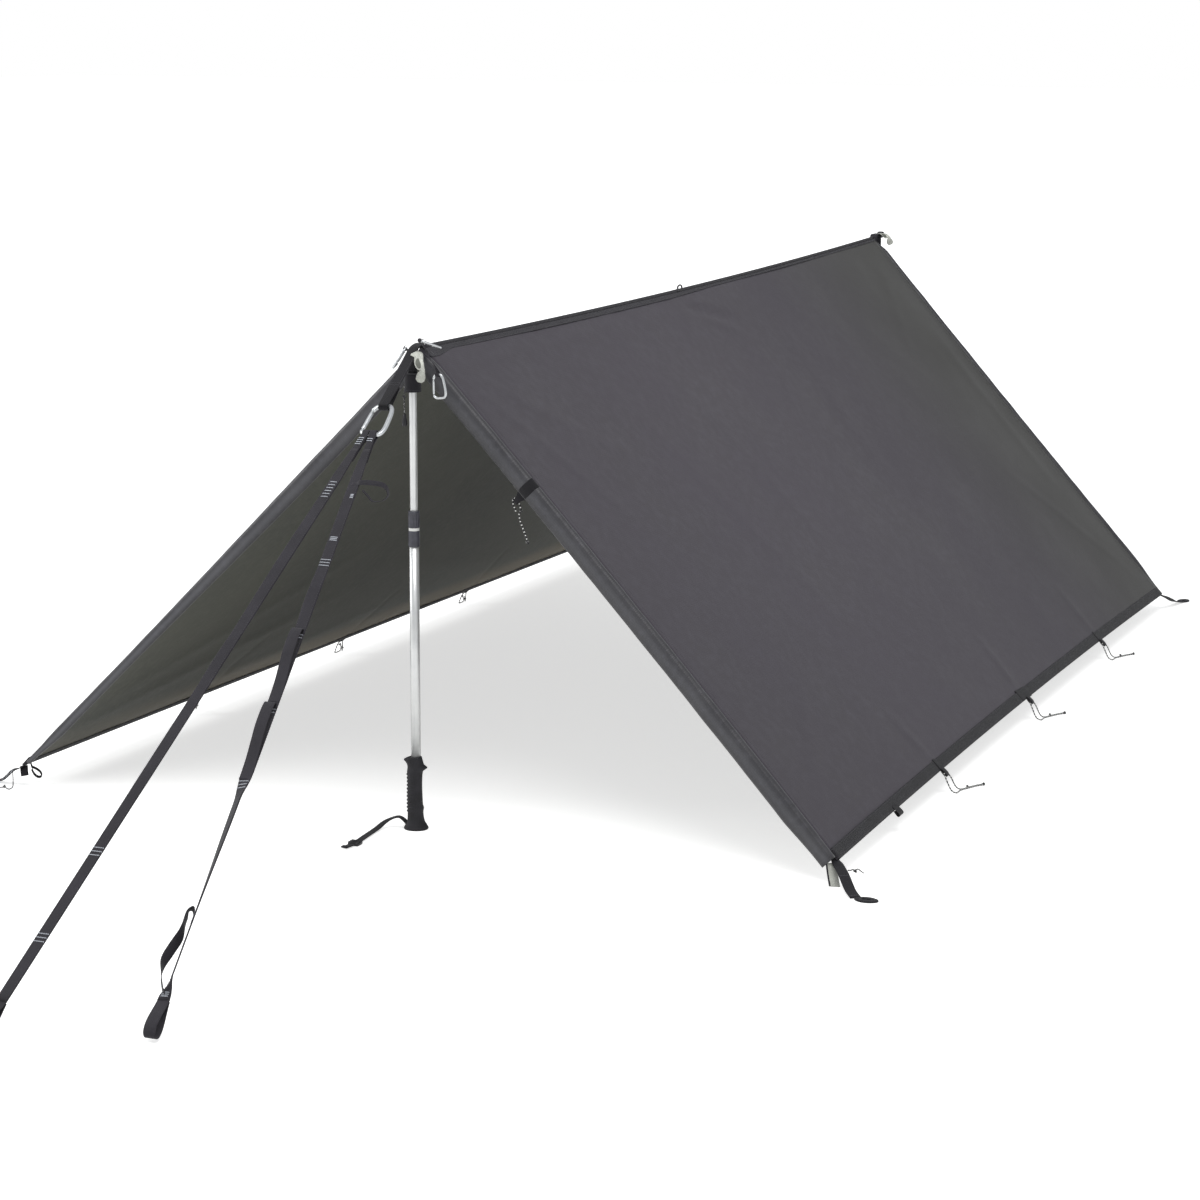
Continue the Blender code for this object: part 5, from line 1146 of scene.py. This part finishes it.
seams += [bar_tack(strap_line(d, 0.0054), HEADING, ACROSS, STRAP_UP, 0.020) for d in (0.118, 0.124, 0.160)]
add_stitches("front_peak_stitches", seams, "ridge", (3.0, 2.6, 0.9, 0.7))

rear = vectors((0, 1.5017, 0.998), (0, 1.5017, 1.016), (0, 1.5037, 1.025), (0, 1.5107, 1.032), (0, 1.530, 1.032),
               (0, 1.550, 1.032))
loop = [Vector((0, 1.570 + 0.021 * math.cos(t), 1.028 + 0.0085 * math.sin(t))) for t in turns(48)]
parts = [band(smoothed(rear, 5), ACROSS, 0.022, 0.0016), band(loop, ACROSS, 0.011, 0.0016, True)]
add_piece("rear_peak_strap", parts, webbing, "ridge", ["rear_peak_web"])
tacks = [bar_tack(Vector((0, y, 1.0330)), Vector((0, 1, 0)), ACROSS, UP, 0.018) for y in (1.520, 1.544)]
add_stitches("rear_peak_tacks", tacks, "ridge", (1.0, 2.0, 1.0, 0.8))

# Woven polyester sewn as a stiff cup: plainer and duller than the webbing over it.
cup_cloth = webbing_of("woven polyester, pole pocket", "1C1B20", "28262C", 0.82)

for end, sign, height in ENDS:
    # the cup has a taped rim and a seam, and hangs on a short strap from the peak webbing
    foot, low, top = Vector((0, sign * POLE_OUT, 0)), height - 0.085, height - 0.048
    profile = [(0.0005, top), (0.0142, top), (0.0164, top - 0.0012), (0.0172, top - 0.004), (0.0172, low + 0.008),
               (0.0176, low + 0.0072), (0.0176, low + 0.0008), (0.0170, low), (0.0152, low), (0.0150, low + 0.001),
               (0.0150, top - 0.0045), (0.0005, top - 0.0045)]
    hang = 0.9896 if end == "front" else height + 0.0089
    middle = (top + hang) / 2
    strap = [Vector((0, foot.y, z)) for z in (top - 0.002, (top + middle) / 2, middle, (middle + hang) / 2, hang)]
    parts = [lathe(softened(profile, 0.0004), foot, 56), band(smoothed(strap, 3), ACROSS, 0.020, 0.002)]
    add_piece(f"{end}_tip_cup", parts, cup_cloth, "ridge", [f"{end}_pole_pocket"])
    rim = circle(foot, 0.0177, low + 0.0040, 60)
    rim = [(point, Vector((point.x, point.y - foot.y, 0))) for point in [*rim, rim[0]]]
    tack = [(Vector((x / 1000, foot.y - 0.0012, top + 0.006)), Vector((0, -1, 0))) for x in range(-9, 10)]
    add_stitches(f"{end}_cup_stitches", [rim, tack], "ridge", (3.0, 2.2, 0.7, 0.6))

# The pull cord: the same braid knotted through the front cup's edge, for drawing the cup off the pole's tip.
# It hangs straight down and ends in a toggle of moulded nylon, ribbed for the fingers.
x, y, low = -0.0187, -POLE_OUT, 0.915
pull = [(x, y, low + 0.014), (x, y - 0.0004, low), (x - 0.0006, y - 0.001, low - 0.022),
        (x, y - 0.001, low - 0.0455)]
add_cord("cup_pull_cord", pull, "ridge", "pocket_pull_cord", (0.42,), 16)
toggle = vectors((0.0016, low - 0.0460), (0.0030, low - 0.0480), (0.0038, low - 0.0540), (0.0054, low - 0.0640),
                 (0.0056, low - 0.0690), (0.0040, low - 0.0715))
ribbed = [(p.x + (0.0003 if 0 < i < 40 and i % 4 < 2 else 0), p.y) for i, p in enumerate(smoothed(toggle, 9))]
parts = [lathe(ribbed, Vector((x, y - 0.001, 0)), 32)]
add_piece("pull_toggle", parts, nylon, "ridge", ["pocket_pull_toggle"])

# The reflective tabs: folded glass-bead tape that lies on the peak webbing and falls over its right edge.
# Each is sewn along both edges, and a band of the tape's plain grey back lies over its middle in place of the
# half-open fold: the back is real, and its darker grey there is painted shade.
tape_back_painted_shade = webbing_of("reflective tape, plain woven back, painted shade", "70726A", "7E8078", 0.70)
on_web = strap_line(0.031, 0.0056)
FRONT_TAB = [on_web + ACROSS * 0.002, on_web + ACROSS * 0.0180,
             *vectors((0.0262, -1.571, 0.9790), (0.0325, -1.575, 0.9660), (0.0335, -1.576, 0.9530),
                      (0.0280, -1.572, 0.9380))]
REAR_TAB = vectors((0.001, 1.533, 1.0338), (0.0125, 1.533, 1.0338), (0.026, 1.534, 1.0278), (0.037, 1.536, 1.0158),
                   (0.042, 1.538, 1.0018))
for end, route, start, finish in (("front", FRONT_TAB, STRAP_UP, Vector((0.38, -0.90, 0.19))),
                                  ("rear", REAR_TAB, UP, Vector((0.30, -0.93, 0.15)))):
    route = smoothed(route, 7)
    last = len(route) - 1
    across, widths, faces_to = [], [], []
    for i, along in enumerate(tangents(route)):
        share = i / last
        facing = start.lerp(finish, min(1, max(0, share * 2 - 0.5)))
        across.append(along.cross(facing).normalized())
        faces_to.append(across[-1].cross(along).normalized())
        twist = math.exp(-((share - 0.66) / 0.085) ** 2)
        rounded = (0.35 + 0.65 * ramp(share, 0.0, 0.12)) * (1 - 0.5 * ramp(share, 0.93, 1.0))
        widths.append((0.0185 - 0.0105 * twist) * rounded)
        route[i] = route[i] - across[-1] * 0.0040 * twist
    hollow = [i for i in range(len(route)) if 0.30 < i / last < 0.60]
    # painted shade: the grey band over the middle stands for the shade inside the fold
    middle = [route[i] + faces_to[i] * 0.0009 + across[i] * 0.0022 for i in hollow]
    opened = [0.0098 * math.sin(math.pi * (k + 0.6) / (len(hollow) + 0.2)) ** 0.6 for k in range(len(hollow))]
    parts = [band(route, across, widths, 0.0010), band(middle, [across[i] for i in hollow], opened, 0.0008)]
    add_piece(f"{end}_reflector", parts, [reflective, tape_back_painted_shade], "ridge", [f"{end}_peak_tab"])
    sewn = range(3, last - 3)
    seams = [[(route[i] + faces_to[i] * 0.0007 + across[i] * s * widths[i] * 0.42, faces_to[i]) for i in sewn]
             for s in (-1, 1)]
    add_stitches(f"{end}_reflector_stitches", seams, "ridge", (3.2, 2.2, 0.6, 0.5))

# The carabiners: bent aluminium bar with a flattened spine, and a pinned gate that shuts on the nose.
# The metal is satin anodised, so that it shows a soft pale highlight and hardly any scratches.
metal, tree, shader = surface("satin anodised aluminium, carabiner", 0.30, 0.85, IOR=1.5)
colour, wear = mottled(tree, 40.0, "D2D5D8", "DDDFE0", 3.0)
rough = node(tree, "MapRange", {"Value": wear, "To Min": 0.30, "To Max": 0.36})
dress(shader, Base_Color=colour, Roughness=rough, Normal=grained(tree, 2200.0, 0.04, 0.0002))


def add_carabiner(name, place, along, across, body, node_name, gate, size=SMALL_CLIP):
    """A pear-shaped ring of bar with its gate and pin. size is its length, width, bar radius and taper."""
    length, width, bar, taper = size
    along, across = squared(along, across)
    normal = along.cross(across).normalized()

    def outline(t):
        a = -math.copysign(abs(math.cos(t)) ** 0.625, math.cos(t)) * (length / 2 - bar)
        b = math.copysign(abs(math.sin(t)) ** (0.45 if t % (2 * math.pi) < math.pi else 0.625), math.sin(t))
        return place + along * a + across * b * (width / 2 - bar) * (1 + taper * a / (length / 2 - bar))

    hinge_turn, nose_turn = math.radians(-62), math.radians(-128)
    sweep = 2 * math.pi + nose_turn - hinge_turn
    path = [outline(hinge_turn + sweep * k / 110) for k in range(111)]
    rings = []
    for i, (point, ahead) in enumerate(zip(path, tangents(path))):
        side = (normal - ahead * normal.dot(ahead)).normalized()
        out, end_share = ahead.cross(side), min(i, 110 - i) / 110
        swell, cut = 0.72 + 0.28 * ramp(end_share, 0.0, 0.014), ramp(end_share, 0.08, 0.16)
        ring = []
        for t in turns(20):
            groove = 1 - 0.30 * math.exp(-((abs(abs(t - math.pi) - math.pi / 2) - math.pi / 2) / 0.22) ** 2) * cut
            ring.append(point + (side * math.cos(t) * groove + out * math.sin(t)) * bar * swell)
        rings.append(ring)
    add_piece(name, [shape(rings)], metal, body, [node_name])
    hinge, nose = outline(hinge_turn), outline(nose_turn)
    reach = (nose - hinge).normalized()
    low, high = hinge + reach * (bar * 0.35 + 0.0003), nose - reach * (bar * 0.42 + 0.0003)
    thin, steps = bar * 0.85, 16
    line = [low.lerp(high, k / steps) for k in range(steps + 1)]
    thickness = [thin * (0.55 + 0.45 * ramp(min(k, steps - k), 0, 1.6)) for k in range(steps + 1)]
    pin = [hinge + reach * bar + normal * bar * d for d in (-0.98, -0.90, 0.90, 0.98)]
    parts = [rod(line, thickness, 18), rod(pin, [bar * 0.20, bar * 0.28, bar * 0.28, bar * 0.20])]
    add_piece(f"{name}_gate_bar", parts, metal, f"{gate}_arm", [gate])


MAIN_LONG, MAIN_WIDE = 0.094, 0.056
HANGING_CLIP = vectors((0.0605, -1.550, 0.9290), (0.10, 0, -0.995), (0.995, 0, 0.10))
add_carabiner("big_carabiner", strap_line(MAIN_TOP + MAIN_LONG / 2), HEADING, ACROSS, "ridge", "main_carabiner",
              "main_gate", (MAIN_LONG, MAIN_WIDE, MAIN_BAR, 0.12))
add_carabiner("ridge_clip", *RIDGE_CLIP, "right_slope", "ridge_carabiner", "ridge_gate")
add_carabiner("hem_clip", *HEM_CLIP, "left_slope", "hem_carabiner", "hem_gate")
add_carabiner("hanging_clip_ring", *HANGING_CLIP, "hanging_clip", "hanging_carabiner", "hanging_gate")
start = strap_line(0.012, 0.0035)
anchor = [start + ACROSS * 0.0140, start + Vector((0.024, -0.003, -0.004)), start + Vector((0.040, -0.006, -0.018)),
          foot_bar(HANGING_CLIP) + Vector((-0.004, 0.0036, 0.010))]
parts = [bar_loop(anchor, HANGING_CLIP, 1, [0.009], HEADING)]
add_piece("clip_strap", parts, webbing, "ridge", ["clip_web"])

# The guy straps: two layers of 24 mm webbing tacked together every 15 cm, so that each space is a loop for a peg.
# Each is looped on the big carabiner and drawn tight to the ground, where its last loop takes the peg.
LEFT_PEG, RIGHT_PEG = vectors((-0.077, -3.0255, 0.0100), (0.1845, -2.918, 0.0100))
GUY_WIDE, GUY_NECK, GUY_LOOP = 0.0235, 0.0145, 0.075


def upper_side(along, across):
    facing = along.cross(across).normalized()
    return facing if facing.dot(STRAP_UP) > -0.2 else -facing


def add_guy_strap(name, offset, peg, lean, node_name, slack, tack_list):
    """A guy strap with its upper layer, its bar tacks, and the sewn loop at its lower end."""
    bar = strap_line(MAIN_TOP + MAIN_LONG - MAIN_BAR) + ACROSS * offset - HEADING * 0.0020
    heading = (peg - bar).normalized()
    total = (peg - bar).length - GUY_LOOP
    turn = loop_around(bar, -HEADING, -STRAP_UP, MAIN_BAR + 0.0016, 0.0016)
    ends = ((0.085, 0.0028), (0.030, 0.0010), (0.012, -0.0052), (0.012, 0.0050))
    ends = [bar + heading * d + STRAP_UP * lift for d, lift in ends]
    path = [*ends[:3], *turn, ends[3]]
    first = len(path)
    widths, across = [0.020, 0.017, *[GUY_NECK] * (first - 2)], [ACROSS] * first
    for k in range(1, 131):
        distance = 0.012 + (total - 0.012) * (k / 130) ** 1.1
        path.append(bar + heading * distance + STRAP_UP * 0.0050 * (1 - distance / total))
        across.append(Matrix.Rotation(lean(distance), 4, heading) @ ACROSS)
        widths.append(GUY_NECK + (GUY_WIDE - GUY_NECK) * ramp(distance, 0.02, 0.16))
    start, side, straight = path[-1], across[-1], len(path)
    face = heading.cross(side)
    for k in range(1, 39):
        t = 2 * math.pi * k / 42 + 0.30
        far = (1 - math.cos(t)) / 2
        out = 0.013 * 1.3 * math.sin(t) * far - 0.0023 * ramp(k, 20, 36)
        path.append(start + heading * GUY_LOOP * far + face * out)
        across.append(side)
        widths.append(GUY_WIDE)
    doubled = range(first + 4, straight)
    places = [(path[i] - bar).dot(heading) for i in doubled]
    upper, tips = [], []
    for i, distance in zip(doubled, places):
        facing = upper_side((path[i + 1] - path[i - 1]).normalized(), across[i])
        bulge = slack(distance)
        upper.append(path[i] + facing * (0.0013 + bulge) - across[i] * bulge * 0.45)
        tips.append((across[i] - facing * min(0.6, bulge * 90)).normalized())
    breadths = [widths[i] * 0.97 for i in doubled]
    layers = [band(path, across, widths, 0.0016), band(upper, tips, breadths, 0.0009)]
    item = add_piece(name, layers, webbing, "ridge", [node_name])
    edges = [[(p + upper_side(heading, a) * 0.0006 + a * sign * w * 0.40, upper_side(heading, a))
              for p, a, w in zip(upper, tips, breadths)] for sign in (-1, 1)]
    tacks = []
    for place, width, shift in tack_list:
        k = min(range(len(upper)), key=lambda i: abs(places[i] - place))
        facing = upper_side(heading, tips[k])
        centre = upper[k] + heading * (place - places[k]) + facing * 0.0009
        tacks.append(bar_tack(centre + tips[k] * shift, heading, tips[k], facing, width))
    add_stitches(f"{name}_bar_tacks", tacks, "ridge", (0.8, 2.0, 1.4, 1.1), tack_thread)
    add_stitches(f"{name}_edge_stitches", edges, "ridge", (6.0, 3.6, 0.6, 0.5))
    return bar, heading


def bumps(*spans):
    """A slack profile: (start, end, height) spans that rise and fall smoothly."""
    def stand_off(distance):
        shares = [(high, min(1, max(0, (distance - a) / (b - a)))) for a, b, high in spans]
        return sum(high * math.sin(math.pi * share) ** 1.3 for high, share in shares)
    return stand_off


def right_lean(distance):
    """How far the right strap has turned about its own line, in radians."""
    turned = 0.68 * ramp(distance, 0.88, 0.945) + 0.36 * ramp(distance, 0.95, 1.22)
    return turned - 1.04 * ramp(distance, 1.33, 1.378)


def tacked(starts, step, width, shift=0.0, count=3):
    """Groups of bar tacks as (place, width, shift) rows."""
    return [(start + step * k, width, shift) for start in starts for k in range(count)]


left_tacks = [*tacked([0.020], 0.006, 0.011, -0.0010, 4), *tacked([0.151], 0.0085, 0.0135, count=6),
              *tacked([1.112, 1.31], 0.0086, 0.0210)]
add_guy_strap("left_guy_strap", -0.0077, LEFT_PEG, lambda d: 0.0, "left_strap",
              bumps((0.20, 0.56, 0.0012), (0.57, 0.71, 0.0008)), left_tacks)
right_tacks = [*tacked([0.020], 0.006, 0.011, -0.0010, 2), *tacked([0.176], 0.004, 0.006, 0.005),
               *tacked([0.352, 0.538, 0.722, 0.900, 1.196], 0.0075, 0.0200),
               *tacked([0.292, 1.362], 0.0040, 0.0140)]
bar, heading = add_guy_strap("right_guy_strap", 0.0077, RIGHT_PEG, right_lean, "right_strap",
                             bumps((0.37, 0.53, 0.0016)), right_tacks)

# Between tacks, spare lengths of the right strap's upper layer stand off the lower one.
# The two higher ones fold over their tacks and lie down the strap; the lowest twists as it hangs beside it.
raised = toward(heading.cross(ACROSS).normalized(), UP)
for name, low_end, high in (("upper", 0.545, 0.0165), ("middle", 0.728, 0.0150)):
    shares = ((0.0, 0.15), (-0.008, 0.45), (-0.005, 0.80), (0.014, 1.0), (0.050, 0.98), (0.085, 0.62),
              (0.120, 0.26), (0.150, 0.12), (0.168, 0.10))
    route = smoothed([bar + heading * (low_end + d) + raised * (high * off + 0.0022) for d, off in shares], 6)
    parts = [band(route, ACROSS, 0.0232, 0.0012)]
    add_piece(f"right_guy_strap_{name}_spare", parts, webbing, "ridge", ())
edge_on = Matrix.Rotation(1.04, 4, heading) @ ACROSS
sideways = toward(heading.cross(edge_on).normalized(), -ACROSS)
steps = ((1.196, 0.0022), (1.187, 0.0070), (1.192, 0.0125), (1.212, 0.0130), (1.245, 0.0115), (1.277, 0.0175),
         (1.308, 0.0225), (1.334, 0.0180), (1.357, 0.0080), (1.366, 0.0022))
route = smoothed([bar + heading * d + sideways * off for d, off in steps], 6)
tips = []
for share in (i / (len(route) - 1) for i in range(len(route))):
    turned = 0.35 * ramp(share, 0.20, 0.30) + 0.62 * ramp(share, 0.36, 0.50) - 0.87 * ramp(share, 0.58, 0.80)
    tips.append(edge_on * math.cos(turned) + sideways * math.sin(turned))
add_piece("right_guy_strap_spare", [band(route, tips, 0.0195, 0.0012)], webbing, "ridge", ())

# The slack loop: a length of 10 mm webbing sewn to the right strap by the carabiner.
# It springs out to the side and hangs back under its own root.
root = bar + heading * 0.148 + raised * 0.0064
spots = vectors((0.0485, -1.874, 0.7786), (0.0762, -1.874, 0.7790), (0.0977, -1.873, 0.7754),
                (0.1062, -1.872, 0.7632), (0.1033, -1.872, 0.7523), (0.0909, -1.872, 0.7444),
                (0.0729, -1.872, 0.7433), (0.0607, -1.873, 0.7554), (0.0530, -1.876, 0.7640))
route = smoothed([root - ACROSS * 0.004, root + ACROSS * 0.007, *spots], 8)
tips = []
for share in (i / (len(route) - 1) for i in range(len(route))):
    upright = Vector((0, -0.62, -0.50)).lerp(Vector((0, -0.40, -0.92)), ramp(share, 0.04, 0.14))
    tips.append(upright.lerp(Vector((0.05, -1, 0.05)), ramp(share, 0.34, 0.56)))
item = add_piece("slack_webbing_loop", [band(route, tips, 0.010, 0.0012)], webbing, "ridge", ["right_slack_loop"])
